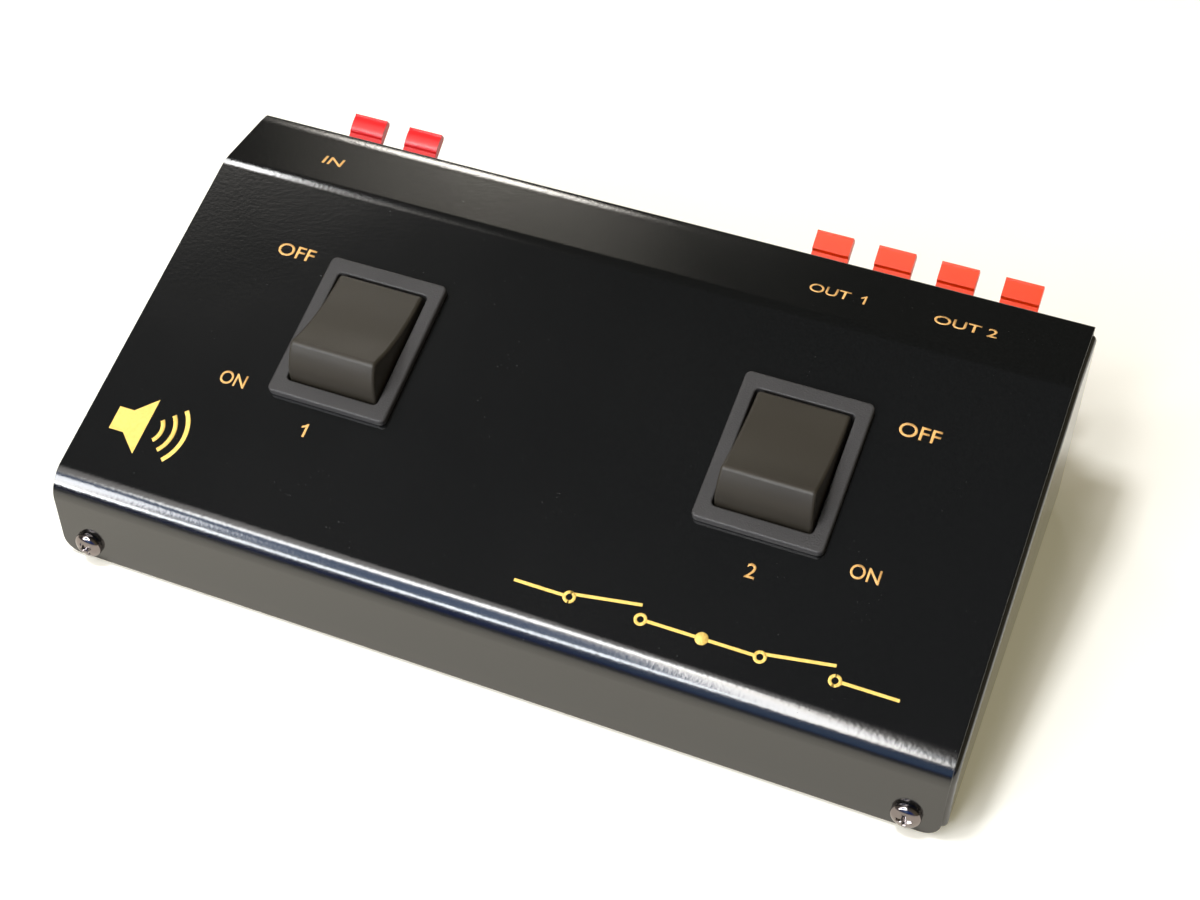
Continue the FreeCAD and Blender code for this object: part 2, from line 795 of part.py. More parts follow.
def seesaw():
    """A rocking contact about its cradle: a shallow vee above, a rivet under its far arm."""
    body = new_body("seesaw")
    outline = new_sketch(body, "YZ_Plane")
    vee_top = "seesaw_web + vee_half * tan(vee_angle)"
    under = "arm_top - arm_thickness"
    boss = "(fulcrum_radius + cradle_gap + arm_thickness)"
    polygon(
        outline,
        [
            ("-seesaw_length", "arm_top"),
            ("-arm_start", "arm_top"),
            ("-vee_half", vee_top),
            ("0", "seesaw_web"),
            ("vee_half", vee_top),
            ("arm_start", "arm_top"),
            ("seesaw_length", "arm_top"),
            ("seesaw_length", under),
            ("arm_start - arm_thickness", under),
            ("vee_half - arm_thickness", f"{vee_top} - arm_thickness"),
            (boss, "fulcrum_radius"),
            (boss, "0"),
            (f"-{boss}", "0"),
            (f"-{boss}", "fulcrum_radius"),
            ("arm_thickness - vee_half", f"{vee_top} - arm_thickness"),
            ("arm_thickness - arm_start", under),
            ("-seesaw_length", under),
        ],
    )
    pad(body, outline, "seesaw_width", both=True)
    groove = new_sketch(body, "YZ_Plane")
    circle(groove, "0", "0", "fulcrum_radius + cradle_gap")
    pocket(body, groove, "seesaw_width", both=True)
    rivet = new_sketch(body, "XY_Plane", "arm_top - arm_thickness")
    circle(rivet, "0", "contact_reach", "contact_radius")
    pad(body, rivet, "contact_height", back=True)
    return body


def fixed_blades():
    """The middle blade with its rounded fulcrum and the outer blade with its contact, for one
    pole, in the see-saw's frame turned level."""
    middle = new_body("fulcrum_blade")
    end = "seesaw_depth - housing_depth + pivot_depth"
    blade = new_sketch(middle, "XY_Plane")
    half_x, half_y = "blade_width / 2", "blade_thickness / 2"
    rectangle(blade, f"-{half_x}", f"-{half_y}", half_x, half_y)
    pad(middle, blade, f"blade_below - ({end})", back=True)
    top = new_sketch(middle, "YZ_Plane")
    circle(top, "0", "0", "fulcrum_radius")
    pad(middle, top, "blade_width", both=True)
    drill_blade(middle, "0", f"{end} - blade_below")
    outer = new_body("contact_blade")
    blade = new_sketch(outer, "XY_Plane", contact_level())
    reach = "contact_reach"
    rectangle(blade, f"-{half_x}", f"{reach} - {half_y}", half_x, f"{reach} + {half_y}")
    pad(outer, blade, f"blade_below - ({end}) + ({contact_level()})", back=True)
    button = new_sketch(outer, "XY_Plane", contact_level())
    circle(button, "0", reach, "contact_radius")
    pad(outer, button, "contact_height", back=True)
    drill_blade(outer, reach, f"{end} - blade_below")
    return middle, outer


def contact_level():
    """The fixed contact's top: just under the rivet's lower rim when the arm is down."""
    rim = "(contact_reach + contact_radius) * sin(seesaw_tilt)"
    flat = "(arm_top - arm_thickness - contact_height) * cos(seesaw_tilt)"
    return f"{flat} - {rim} - contact_gap"


def drill_blade(body, middle, bottom):
    hole = new_sketch(body, "XZ_Plane", f"-({middle})")
    circle(hole, "0", f"{bottom} + blade_width / 2", "blade_hole")
    pierce(body, hole, "blade_thickness")


def switch_inside(which, sources):
    """The pieces inside one switch, each repeated for its two poles."""
    pin, spring, lever, middle, outer = sources
    x = switch_place(which)
    rocking = [(f"{x} {side} pole_spread", "pivot_back", "pivot_height", "slope - rocker_tilt")
               for side in "-+"]
    tipping = [(f"{x} {side} pole_spread", "seesaw_back", "seesaw_height", "slope + seesaw_tilt")
               for side in "-+"]
    still = [(f"{x} {side} pole_spread", "seesaw_back", "seesaw_height", "slope") for side in "-+"]
    blades = doc.addObject("Part::Compound", f"blades_{which}")
    blades.Links = [middle, outer]
    doc.recompute()
    return [
        copies(f"switch_{which}_plungers", pin, rocking),
        copies(f"switch_{which}_plunger_springs", spring, rocking),
        copies(f"switch_{which}_contact_levers", lever, tipping),
        copies(f"switch_{which}_terminals", blades, still),
    ]


# ---------------------------------------------------------------- push-terminal blocks


def ear_place(columns):
    """How far a block's fixing screw is from the block's middle."""
    return f"{columns} * cell_pitch / 2 + block_margin + ear_width / 2"


def column_places(columns):
    return [f"{(2 * index - columns + 1) / 2} * cell_pitch" for index in range(columns)]


def row_shifts():
    """How far each row is below the upper one."""
    return ["0", "row_pitch"]


def level(drop, row):
    """A height in the block's frame, from a drop below the cover's top."""
    return f"block_middle_drop - {drop} - {row}"


def terminal_housing(label, columns, place_x):
    """The moulded block; its middle on the rear wall's outer face is its origin."""
    body = new_body(label)
    half = f"({columns} * cell_pitch / 2)"
    wide, tall = f"({half} + block_margin)", "(block_height / 2 + block_margin)"
    flange = new_sketch(body, "XZ_Plane", "-block_flange")
    rectangle(flange, f"-{wide}", f"-{tall}", wide, tall)
    pad(body, flange, "block_flange")
    corners = [(x + wide, z + tall) for x in ("-", "") for z in ("-", "")]
    soften(body, "Fillet", "block_corner", edge_at(1, corners))
    soften(body, "Fillet", "block_edge", in_plane(1, "block_flange"))
    ears = new_sketch(body, "XZ_Plane", "-ear_thickness")
    outer = f"({wide} + ear_width)"
    rectangle(ears, f"-{outer}", "-ear_height / 2", outer, "ear_height / 2")
    pad(body, ears, "ear_thickness")
    ends = [(x + outer, z + "ear_height / 2") for x in ("-", "") for z in ("-", "")]
    soften(body, "Fillet", "ear_corner", edge_at(1, ends))
    inner = new_sketch(body, "XZ_Plane")
    rectangle(inner, f"-{half}", "-block_height / 2", half, "block_height / 2")
    pad(body, inner, "block_depth")
    cells = [(x, row) for x in column_places(columns) for row in row_shifts()]
    chambers = new_sketch(body, "XZ_Plane", "-block_flange")
    for x, row in cells:
        top = level("chamber_drop", row)
        rectangle(chambers, f"{x} - chamber_width / 2", f"{top} - chamber_height",
                  f"{x} + chamber_width / 2", top)
    pocket(body, chambers, "block_flange + block_depth", back=True)
    cavities = new_sketch(body, "XZ_Plane", "block_depth")
    for x, row in cells:
        rectangle(cavities, f"{x} - chamber_width / 2", level("cell_floor_drop", row),
                  f"{x} + chamber_width / 2", level("chamber_drop", row))
    pocket(body, cavities, "block_depth + block_flange - cell_front_wall")
    funnels = new_sketch(body, "XZ_Plane", "-block_flange")
    for x, row in cells:
        top = level("funnel_drop", row)
        rectangle(funnels, f"{x} - funnel_width / 2", f"{top} - funnel_height",
                  f"{x} + funnel_width / 2", top)
    pocket(body, funnels, "funnel_depth", back=True)
    ways = new_sketch(body, "XZ_Plane", "-block_flange")
    for x, row in cells:
        circle(ways, x, level("funnel_drop", row) + " - funnel_height / 2", "wire_hole_radius")
    pocket(body, ways, "cell_front_wall + wire_hole_radius", back=True)
    bearings = new_sketch(body, "YZ_Plane")
    for row in row_shifts():
        circle(bearings, "lever_pivot_out", level("lever_pivot_drop", row),
               "lever_pin_radius + pin_gap")
    length = f"{columns - 1} * cell_pitch + lever_width + 2 * (lever_pin_length + pin_gap)"
    pocket(body, bearings, length, both=True)
    holes = new_sketch(body, "XZ_Plane")
    for side in ("-", ""):
        circle(holes, f"{side}({ear_place(columns)})", "0", "screw_radius + screw_hole_gap")
    pierce(body, holes, "ear_thickness")
    return place(body, place_x, "rear_face", "block_middle")


def back_board(label, columns, place_x):
    """The board that closes a block behind its springs; the contact strips pass through it."""
    body = new_body(label)
    half = f"({columns} * cell_pitch / 2)"
    board = new_sketch(body, "XZ_Plane", "block_depth")
    rectangle(board, f"-{half}", "-block_height / 2", half, "block_height / 2")
    pad(body, board, "back_board")
    slots = new_sketch(body, "XZ_Plane", "block_depth")
    reach = "(strip_width / 2 + blade_slot_gap)"
    for x in column_places(columns):
        for row in row_shifts():
            low = level("cell_floor_drop", row)
            rectangle(slots, f"{x} - {reach}", f"{low} - blade_slot_gap", f"{x} + {reach}",
                      f"{low} + strip_thickness + blade_slot_gap")
    pierce(body, slots, "back_board")
    return place(body, place_x, "rear_face", "block_middle")


def lever():
    """A finger lever about its pivot, lying level: finger tab to the rear, tail to the front."""
    body = new_body("terminal_lever")
    tab = new_sketch(body, "YZ_Plane")
    under, dip = "lever_hub - lever_thickness", "lever_hub - lever_valley"
    rims = [
        ("lever_length", "lever_hub + lever_lip"),
        ("lever_length - lever_lip_width", "lever_hub + lever_lip"),
    ]
    valley = [
        ("lever_length - lever_lip_width - 2 * lever_valley", dip),
        ("lever_step + lever_valley", dip),
    ]
    polygon(
        tab,
        [
            ("0", under),
            ("lever_length - lever_round", under),
            ("lever_length", f"{under} + lever_round"),
            *rims,
            *valley,
            ("lever_step", "lever_hub"),
            ("0", "lever_hub"),
        ],
    )
    pad(body, tab, "lever_width", both=True)
    soften(body, "Fillet", "lever_lip", edge_at(0, rims))
    soften(body, "Fillet", "lever_valley_round", edge_at(0, valley))
    hub = new_sketch(body, "YZ_Plane")
    circle(hub, "0", "0", "lever_hub")
    pad(body, hub, "lever_width", both=True)
    tail = new_sketch(body, "YZ_Plane")
    half = "lever_tail_thickness / 2"
    rectangle(tail, "-lever_tail", f"-{half}", "0", half)
    pad(body, tail, "strip_width", both=True)
    pin = new_sketch(body, "YZ_Plane")
    circle(pin, "0", "0", "lever_pin_radius")
    pad(body, pin, "lever_width + 2 * lever_pin_length", both=True)
    return body


def lever_node(label, source, place_x, x, row):
    """One lever in its cell, raised to its resting angle."""
    spot = (f"{place_x} + {x}", "rear_face + lever_pivot_out",
            f"block_middle + {level('lever_pivot_drop', row)}", "lever_angle")
    return copies(label, source, [spot])


def contact_strip():
    """A contact strip with its solder tail; its cell's floor at the wall plane is its origin."""
    body = new_body("contact_strip")
    strip = new_sketch(body, "XY_Plane")
    end = "(block_depth + back_board + strip_tail)"
    rectangle(strip, "-strip_width / 2", f"-{end}", "strip_width / 2", "-strip_front")
    pad(body, strip, "strip_thickness")
    hole = new_sketch(body, "XY_Plane")
    circle(hole, "0", f"strip_width / 2 - {end}", "strip_hole")
    pierce(body, hole, "strip_thickness")
    return body


def bent_path(points, radius=None):
    """Straight runs through the points, joined by tangent arcs of one radius, or else of the
    largest radius that the two runs at each point leave room for."""
    edges = []
    start = points[0]
    for before, corner, after in zip(points, points[1:], points[2:]):
        back, forth = before - corner, after - corner
        turn = math.pi - back.getAngle(forth)
        share = math.tan(turn / 2)
        bend = radius or 0.45 * min(back.Length, forth.Length) / share
        reach = bend * share
        back.normalize()
        forth.normalize()
        first, last = corner + back * reach, corner + forth * reach
        inward = (back + forth).normalize()
        middle = corner + inward * (bend / math.cos(turn / 2) - bend)
        edges.append(Part.LineSegment(start, first).toShape())
        edges.append(Part.Arc(first, middle, last).toShape())
        start = last
    edges.append(Part.LineSegment(start, points[-1]).toShape())
    return Part.Wire(edges)


def clamp_spring():
    """The leaf that grips a wire: up behind the cell, over it, and down to the contact strip."""
    thick = number("leaf_thickness")
    floor = number("strip_thickness + leaf_gap") + thick / 2

    def height(drop):
        return number(f"cell_floor_drop - {drop}")

    rear, toe = -number("leaf_rear"), -number("leaf_toe")
    crown = height("leaf_crown_drop")
    points = [
        Vector(0, rear, floor),
        Vector(0, rear, crown),
        Vector(0, -number("leaf_shoulder"), crown),
        Vector(0, -number("leaf_knee"), height("leaf_knee_drop")),
        Vector(0, toe, floor),
    ]
    ribbon = bent_path(points, number("leaf_bend")).makeOffset2D(thick / 2, 0, True)
    leaf = ribbon.extrude(Vector(number("strip_width"), 0, 0))
    leaf.translate(Vector(-number("strip_width") / 2, 0, 0))
    spring = doc.addObject("Part::Feature", "leaf")
    spring.Shape = leaf
    return spring


def hex_nut():
    """A nut with its bearing face at the origin, lying towards -Y."""
    body = new_body("nut")
    outline = new_sketch(body, "XZ_Plane")
    corner = f"(nut_flats / 2 / cos({180 / NUT_SIDES}))"
    turns = [360 / NUT_SIDES * index for index in range(NUT_SIDES)]
    polygon(outline, [(f"{corner} * cos({turn})", f"{corner} * sin({turn})") for turn in turns])
    pad(body, outline, "nut_height")
    bore = new_sketch(body, "XZ_Plane")
    circle(bore, "0", "0", "screw_radius + thread_gap")
    pierce(body, bore, "nut_height")
    return body


def terminal_block(name, columns, place_x, sources):
    """Every node of one block."""
    strip, leaf, finger, screw, nut = sources
    cells = [(x, row) for row in row_shifts() for x in column_places(columns)]
    floors = [(f"{place_x} + {x}", "rear_face", f"block_middle + {level('cell_floor_drop', row)}")
              for x, row in cells]
    ear = ear_place(columns)
    heads = [(f"{place_x} {side} ({ear})", "rear_face + ear_thickness", "block_middle")
             for side in "-+"]
    backs = [(f"{place_x} {side} ({ear})", "rear_face - sheet", "block_middle") for side in "-+"]
    nodes = [
        terminal_housing(f"{name}_terminal_housing", columns, place_x),
        back_board(f"{name}_terminal_back_board", columns, place_x),
        copies(f"{name}_contact_strips", strip, floors),
        copies(f"{name}_clamp_springs", leaf, floors),
        copies(f"{name}_terminal_screws", screw, heads),
        copies(f"{name}_terminal_nuts", nut, backs),
    ]
    for index, (x, row) in enumerate(cells):
        colour = "red" if index < columns else "black"
        label = f"{name}_{colour}_lever_{index % columns + 1}"
        nodes.append(lever_node(label, finger, place_x, x, row))
    return nodes


# ---------------------------------------------------------------- internal wires


def tail_end(place_x, column, columns, row, shift=0.0):
    """Where a wire meets the solder tail of a contact strip."""
    x = number(f"{place_x} + {column_places(columns)[column]}") + shift
    y = number("rear_face - block_depth - back_board - strip_tail - wire_end_gap")
    drop = level("cell_floor_drop", row_shifts()[row])
    return Vector(x, y, number(f"block_middle + {drop} + strip_thickness / 2"))


def blade_end(which, pole, reach, shift=0.0):
    """Where a wire meets the lower end of a switch's blade, and the way the blade points."""
    slope = math.radians(number("slope"))
    down = Vector(0, math.sin(slope), -math.cos(slope))
    along = Vector(0, math.cos(slope), math.sin(slope))
    drop = number("housing_depth - pivot_depth - seesaw_depth + blade_below + wire_end_gap")
    x = number(f"{switch_place(which)} {pole} pole_spread") + shift
    hub = Vector(x, number("seesaw_back"), number("seesaw_height"))
    return hub + along * number(reach) + down * drop, down


def off_blade(which, pole, reach, level_z, shift=0.0):
    """The first two points of a wire that leaves a blade in the blade's own direction, as far
    as a height."""
    start, down = blade_end(which, pole, reach, shift)
    return [start, start + down * ((level_z - start.z) / down.z)]


def insulated_wire(points):
    """One wire swept along its route."""
    path = bent_path(points)
    ring = Part.makeCircle(number("wire_radius"), points[0], points[1] - points[0])
    tube = path.makePipeShell([Part.Wire(ring)], True, False)
    whole = math.pi * number("wire_radius") ** 2 * path.Length
    if abs(tube.Volume / whole - 1) > VOLUME_SHARE:
        raise ValueError("a wire's volume is not its section times its length")
    bends = [edge.Curve.Radius for edge in path.Edges if edge.Curve.TypeId == "Part::GeomCircle"]
    print("wire bends:", *(f"{bend:.1f}" for bend in bends))
    return tube


def wires(label, routes):
    group = doc.addObject("Part::Feature", label)
    group.Label = label
    group.Shape = Part.makeCompound([insulated_wire(points) for points in routes])
    return group


def harness():
    """The wires between the blocks and the switches, in groups of one purpose each. Their way
    points are chosen by hand beside the tails, the switches' middles and the panel's middle."""
    source, sink = ("input_block_place", 2), ("output_block_place", 4)
    rear, floor = number("rear_face"), number("base_top")
    beside = 1.2  # half the distance between two wires on one blade or tail
    common_level, output_level = 3.9, 8.4  # over the tray, where a wire turns from its blade

    def tail(block, column, row, shift=0.0):
        return tail_end(block[0], column, block[1], row, shift)

    def off_tail(block, column, row, x, y, z=0.0):
        """Beside the end of a tail."""
        return tail(block, column, row) + Vector(x, y, z)

    def past_tail(block, column, x, ahead, above):
        """Beside a column, ahead of the rear face and above the tray's plate."""
        return Vector(tail(block, column, 0).x + x, rear - ahead, floor + above)

    def way(which, x, ahead, above):
        """Beside a switch's middle, or the panel's, ahead of the rear face, above the plate."""
        middle = number(switch_place(which)) if which else 0
        return Vector(middle + x, rear - ahead, floor + above)

    def common_blade(which, pole, shift=0.0):
        return off_blade(which, pole, "0", floor + common_level, shift)

    def output_blade(which, pole):
        return off_blade(which, pole, "contact_reach", floor + output_level)

    positive = [
        [tail(source, 0, 0), off_tail(source, 0, 0, 0, -5.8), way("1", -24.5, 32.7, 9.2),
         way("1", -16, 36.9, 3.8), way("1", -9.5, 37.4, 2.5),
         *common_blade("1", "-", -beside)[::-1]],
        [tail(source, 1, 0), off_tail(source, 1, 0, 0, -5.8), way("1", -12.5, 31.7, 8.2),
         way("1", -7, 33.9, 3.8), way("1", 0, 34.5, 2.6), *common_blade("1", "+", -beside)[::-1]],
    ]
    link = [
        [*common_blade("1", "-", beside), way("1", 1, 44.2, 6.2), way("1", 12, 45.7, 6.2),
         way("", 0, 46.2, 5.8), way("2", -16, 45.7, 6.2), way("2", -9, 43.7, 5.6),
         *common_blade("2", "-")[::-1]],
        [*common_blade("1", "+", beside), way("1", 11, 41.3, 1.9), way("1", 24, 42.1, 1.8),
         way("", 6, 42.3, 1.8), way("2", -14, 42.2, 1.8), way("2", -2, 41.5, 1.9),
         *common_blade("2", "+")[::-1]],
    ]
    first = [
        [*output_blade("1", "-"), way("1", -2, 25.1, 8.6), way("1", 14, 24.7, 10),
         way("", 0, 24.5, 10.2), past_tail(sink, 0, -14.2, 24.7, 11.2),
         off_tail(sink, 0, 0, -5.2, -5, -3.4), off_tail(sink, 0, 0, 0, -5.2), tail(sink, 0, 0)],
        [*output_blade("1", "+"), way("1", 9, 28.5, 8.8), way("1", 24, 28.1, 10),
         way("", 8, 28.3, 10.2), past_tail(sink, 1, -17.4, 28.2, 10.8),
         off_tail(sink, 1, 0, -6.4, -8, -3.4), off_tail(sink, 1, 0, 0, -7.4), tail(sink, 1, 0)],
    ]
    second = [
        [*output_blade("2", "-"), way("2", -1, 26.1, 8), past_tail(sink, 2, -8.6, 24.7, 11.7),
         off_tail(sink, 2, 0, -3.6, -5, -2.4), off_tail(sink, 2, 0, 0, -5.2), tail(sink, 2, 0)],
        [*output_blade("2", "+"), way("2", 8.5, 28.9, 8.6), past_tail(sink, 3, -11.8, 28.1, 10.8),
         off_tail(sink, 3, 0, -4.8, -7.8, -2.9), off_tail(sink, 3, 0, 0, -6.6), tail(sink, 3, 0)],
    ]
    common = [
        [tail(source, 0, 1), off_tail(source, 0, 1, 0, -6.4), past_tail(source, 0, 6.6, 27.2, 5.9),
         way("1", 14, 26.9, 5.6), way("", 4, 27.3, 5.8), past_tail(sink, 0, -7.2, 27.2, 5.9),
         off_tail(sink, 0, 1, -1.3, -6.4), tail(sink, 0, 1, -beside)],
        [tail(source, 1, 1), past_tail(source, 1, 0, 24.5, 5.2),
         past_tail(source, 1, 0.8, 28.9, 2.4), way("1", -6, 30.1, 2.2), way("1", 26, 29.9, 1.9),
         way("", 16, 29.7, 2.1), way("2", -6, 30, 2.2), past_tail(sink, 1, -2, 29.1, 2.4),
         past_tail(sink, 1, -beside, 24.5, 5.2), tail(sink, 1, 1, -beside)],
        [tail(sink, 0, 1, beside), off_tail(sink, 0, 1, 1.3, -6.2),
         past_tail(sink, 0, 6.8, 27.2, 6.4), past_tail(sink, 2, -5.6, 27.1, 6.3),
         off_tail(sink, 2, 1, 0, -6.2), tail(sink, 2, 1)],
        [tail(sink, 1, 1, beside), past_tail(sink, 1, 1.3, 24.5, 5.2),
         past_tail(sink, 1, 2, 28.9, 2.4), past_tail(sink, 1, 8.6, 29.9, 2.1),
         past_tail(sink, 3, -5.8, 29.8, 2.1), past_tail(sink, 3, -0.6, 28.9, 2.4),
         past_tail(sink, 3, 0, 24.5, 5.2), tail(sink, 3, 1)],
    ]
    return [
        wires("input_positive_wires", positive),
        wires("switch_link_wires", link),
        wires("switch_1_output_wires", first),
        wires("switch_2_output_wires", second),
        wires("common_negative_wires", common),
    ]


def check_document():
    for thing in doc.Objects:
        if "Invalid" in thing.State or "Error" in thing.State:
            raise ValueError(f"{thing.Label} failed: {thing.State}")


def write(nodes):
    os.makedirs("parts", exist_ok=True)
    for node in nodes:
        if node.Shape.isNull() or not node.Shape.isValid():
            raise ValueError(f"{node.Label} has no valid shape")
    for node in nodes:
        node.Shape.exportStep(f"parts/{node.Label}.step")


def case_nodes(front_screw, rear_screw):
    sides = ("-", "")
    fronts = [(f"{side}front_screw_spread", "front_face", "screw_level") for side in sides]
    rears = [(f"{side}rear_screw_spread", "rear_face", "screw_level") for side in sides]
    ends = ("front_face + foot_inset_end", "rear_face - foot_inset_end")
    feet = [(f"{side}(cover_width / 2 - foot_inset_side)", y, "0") for side in sides for y in ends]
    return [
        top_cover(),
        base_tray(),
        copies("front_cover_screws", front_screw, fronts),
        copies("rear_cover_screws", rear_screw, rears),
        copies("rubber_feet", rubber_foot(), feet),
    ]


def selector():
    """Every node of the object."""
    front_screw = machine_screw("front_screw", "screw_length")
    rear_screw = turned("rear_screw", front_screw)
    nodes = case_nodes(front_screw, rear_screw)
    sources = (plunger(), coil(), seesaw(), *fixed_blades())
    for which in ("1", "2"):
        nodes += [switch_body(which), rocker(which), *switch_inside(which, sources)]
    sources = (contact_strip(), clamp_spring(), lever(), rear_screw, hex_nut())
    nodes += terminal_block("input", 2, "input_block_place", sources)
    nodes += terminal_block("output", 4, "output_block_place", sources)
    return nodes + harness()


fill_sheets()
all_nodes = selector()
check_document()
write(all_nodes)
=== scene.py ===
import json
import math

import bmesh
import bpy
from mathutils import Matrix, Vector


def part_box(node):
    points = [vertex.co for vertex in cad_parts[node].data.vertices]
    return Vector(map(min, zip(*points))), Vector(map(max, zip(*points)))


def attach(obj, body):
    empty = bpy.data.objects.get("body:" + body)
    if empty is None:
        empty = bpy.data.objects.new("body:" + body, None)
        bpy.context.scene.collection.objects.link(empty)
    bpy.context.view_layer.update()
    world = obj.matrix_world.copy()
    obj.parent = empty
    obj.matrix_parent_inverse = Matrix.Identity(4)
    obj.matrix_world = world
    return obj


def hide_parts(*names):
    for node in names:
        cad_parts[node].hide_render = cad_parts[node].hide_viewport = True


# The looks of a two-way loudspeaker selector: gloss black folded steel, satin rockers, red and
# black push levers. Pieces are modelled in millimetres and brought to metres as they are closed.

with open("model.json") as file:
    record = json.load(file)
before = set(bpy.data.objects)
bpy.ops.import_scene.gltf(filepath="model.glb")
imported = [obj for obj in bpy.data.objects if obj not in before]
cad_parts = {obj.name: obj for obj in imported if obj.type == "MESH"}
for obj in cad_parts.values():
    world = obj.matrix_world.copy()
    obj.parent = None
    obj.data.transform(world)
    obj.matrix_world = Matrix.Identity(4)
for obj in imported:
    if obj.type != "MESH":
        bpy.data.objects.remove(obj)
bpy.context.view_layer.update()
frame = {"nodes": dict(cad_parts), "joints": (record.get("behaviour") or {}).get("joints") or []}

MM = 0.001
NEAR = 0.01  # places closer than this are the same place
RIGHT = Vector((1, 0, 0))
BACK = Vector((0, 1, 0))
UP = Vector((0, 0, 1))

JOINTS = {joint["name"]: Vector(joint["pos_m"]) / MM for joint in frame["joints"]}


def box_of(node):
    """Lowest and highest corner of a node, in millimetres."""
    low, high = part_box(node)
    return low / MM, high / MM


# the folded case
cover_low, cover_high = box_of("top_cover")
tray_low, tray_high = box_of("base_tray")
SHEET = 1.0
FRONT_HEIGHT = 18.75
CREASE_SETBACK = 74.1
FRONT_BEND = 6.5
CREASE_BEND = 8.0
REAR_BEND = 1.1
LIP_REACH = 2.5
LIP_TURN = math.radians(8)
LIP_BEND = 16.0
COVER_CORNER = 3.5
EDGE_BREAK = 0.12
LINING = 1.1
FLANGE = 12.0
TRAY_BEND = 1.2
TRAY_CORNER = 1.5
SLOPE = math.atan((cover_high.z - cover_low.z - FRONT_HEIGHT) / CREASE_SETBACK)
FOOT_RADIUS = 5.0
FOOT_EDGE = 0.6
FOOT_RIM = 2.2
FOOT_HOLLOW = 0.25

# rocker switches, in the frame of the sloping panel
SWITCH_RISE = 47.0
BEZEL = Vector((25.4, 32.0, 1.7))
BEZEL_CORNER = 1.2
BEZEL_EDGE = 0.5
BEZEL_FOOT = 0.22
OPENING = Vector((19.6, 25.5, 0))
OPENING_EDGE = 0.35
HOUSING = Vector((21.8, 28.2, 19.0))
WELL_FLOOR = 1.5
CUTOUT_GAP = 0.2
ROCKER_HALF = 9.45
ROCKER_RADIUS = 12.4
ROCKER_TILT = math.radians(18)
RIDGE_ANGLE = math.radians(56.5)
SKIRT_ANGLE = math.radians(114)
ROCKER_SAG = 1.4
ROCKER_TAPER = math.radians(3.4)
ROCKER_STEPS = 14
RIDGE_ROUND = 0.75
FLANK_ROUND = 0.62

# push-terminal blocks, in the frame of the rear wall
FLANGE_OUT = 5.0
EAR = Vector((6.4, 3.0, 11.0))
EAR_CORNER = 2.4
CELL_PITCH = 13.2
BLOCK_DEPTH = 13.0
BLOCK_MARGIN = 1.0
BLOCK_CORNER = 1.2
BLOCK_EDGE = 0.3
WINDOW = Vector((8.4, 0, 7.3))
WINDOW_RISE = 4.5
FUNNEL = Vector((5.2, 3.8, 4.8))
FUNNEL_TAPER = (0.62, 1, 0.66)
FUNNEL_DROP = 3.6
CELL_FLOOR_DROP = 8.7
CELL_FRONT = 0.2
CELL_BACK = 0.2

# terminal levers, about their pivots
LEVER_HALF = 3.9
LEVER_HUB = 1.9
LEVER_LENGTH = 14.8
LEVER_UNDER = -0.3
ARM_TOP = 1.1
PAD_START = 10.4
PAD_TOP = 1.85
PAD_CROWN = 0.45
RISER = 0.35
LEVER_LIP = 0.35
LEVER_TAIL = Vector((2.5, 3.2, 0.6))
TIP_RISE = 0.15
TIP_CHAMFER = 0.45
CROWN_ROUND = 1.5
PAD_EDGE = 0.16
RIM_ROUND = 0.25
LEVER_ANGLE = math.radians(36.4)
PIN_RADIUS = 0.95
PIN_OUT = 0.9


# ---------------------------------------------------------------- modelling


def rotation(angle, axis):
    return Matrix.Rotation(angle, 4, axis)


def edges_where(mesh, wanted):
    return [edge for edge in mesh.edges if wanted(edge)]


def faces_where(mesh, wanted):
    return [face for face in mesh.faces if wanted(face)]


def middle(part):
    """The middle of an edge or a face."""
    return sum((vert.co for vert in part.verts), Vector()) / len(part.verts)


def verts_in(items):
    return [item for item in items if isinstance(item, bmesh.types.BMVert)]


def length_along(edge, axis):
    """How far an edge runs along X, Y or Z (0, 1 or 2)."""
    return abs(edge.verts[0].co[axis] - edge.verts[1].co[axis])


def soften(mesh, parts, radius, segments, affect="EDGES"):
    """Rounds edges, or the corners of a sheet's outline."""
    bmesh.ops.bevel(
        mesh,
        geom=parts,
        offset=radius,
        offset_type="OFFSET",
        segments=segments,
        profile=0.5,
        affect=affect,
        clamp_overlap=True,
        material=-1,
    )


def sharp_edges(mesh, degrees):
    """Edges between two faces that meet at more than this angle."""
    limit = math.radians(degrees)
    return [e for e in mesh.edges if len(e.link_faces) == 2 and e.calc_face_angle() > limit]


def cut(mesh, point, normal):
    """Divides the faces that a plane crosses."""
    whole = mesh.verts[:] + mesh.edges[:] + mesh.faces[:]
    bmesh.ops.bisect_plane(mesh, geom=whole, dist=1e-4, plane_co=point, plane_no=normal)


def push(mesh, faces, move=(0, 0, 0), scale=(1, 1, 1)):
    """Extrudes faces as one region, scales the far end about its own middle and moves it."""
    grown = bmesh.ops.extrude_face_region(mesh, geom=faces)["geom"]
    ends = [item for item in grown if isinstance(item, bmesh.types.BMFace)]
    verts = list({vert for face in ends for vert in face.verts})
    centre = sum((vert.co for vert in verts), Vector()) / len(verts)
    bmesh.ops.scale(mesh, vec=scale, space=Matrix.Translation(-centre), verts=verts)
    bmesh.ops.translate(mesh, vec=move, verts=verts)
    bmesh.ops.delete(mesh, geom=[f for f in faces if f.is_valid], context="FACES")
    return ends


def block(mesh, low, high):
    """A box between two corners."""
    low, high = Vector(low), Vector(high)
    made = bmesh.ops.create_cube(mesh, size=1)["verts"]
    bmesh.ops.scale(mesh, vec=high - low, verts=made)
    bmesh.ops.translate(mesh, vec=(low + high) / 2, verts=made)
    return made


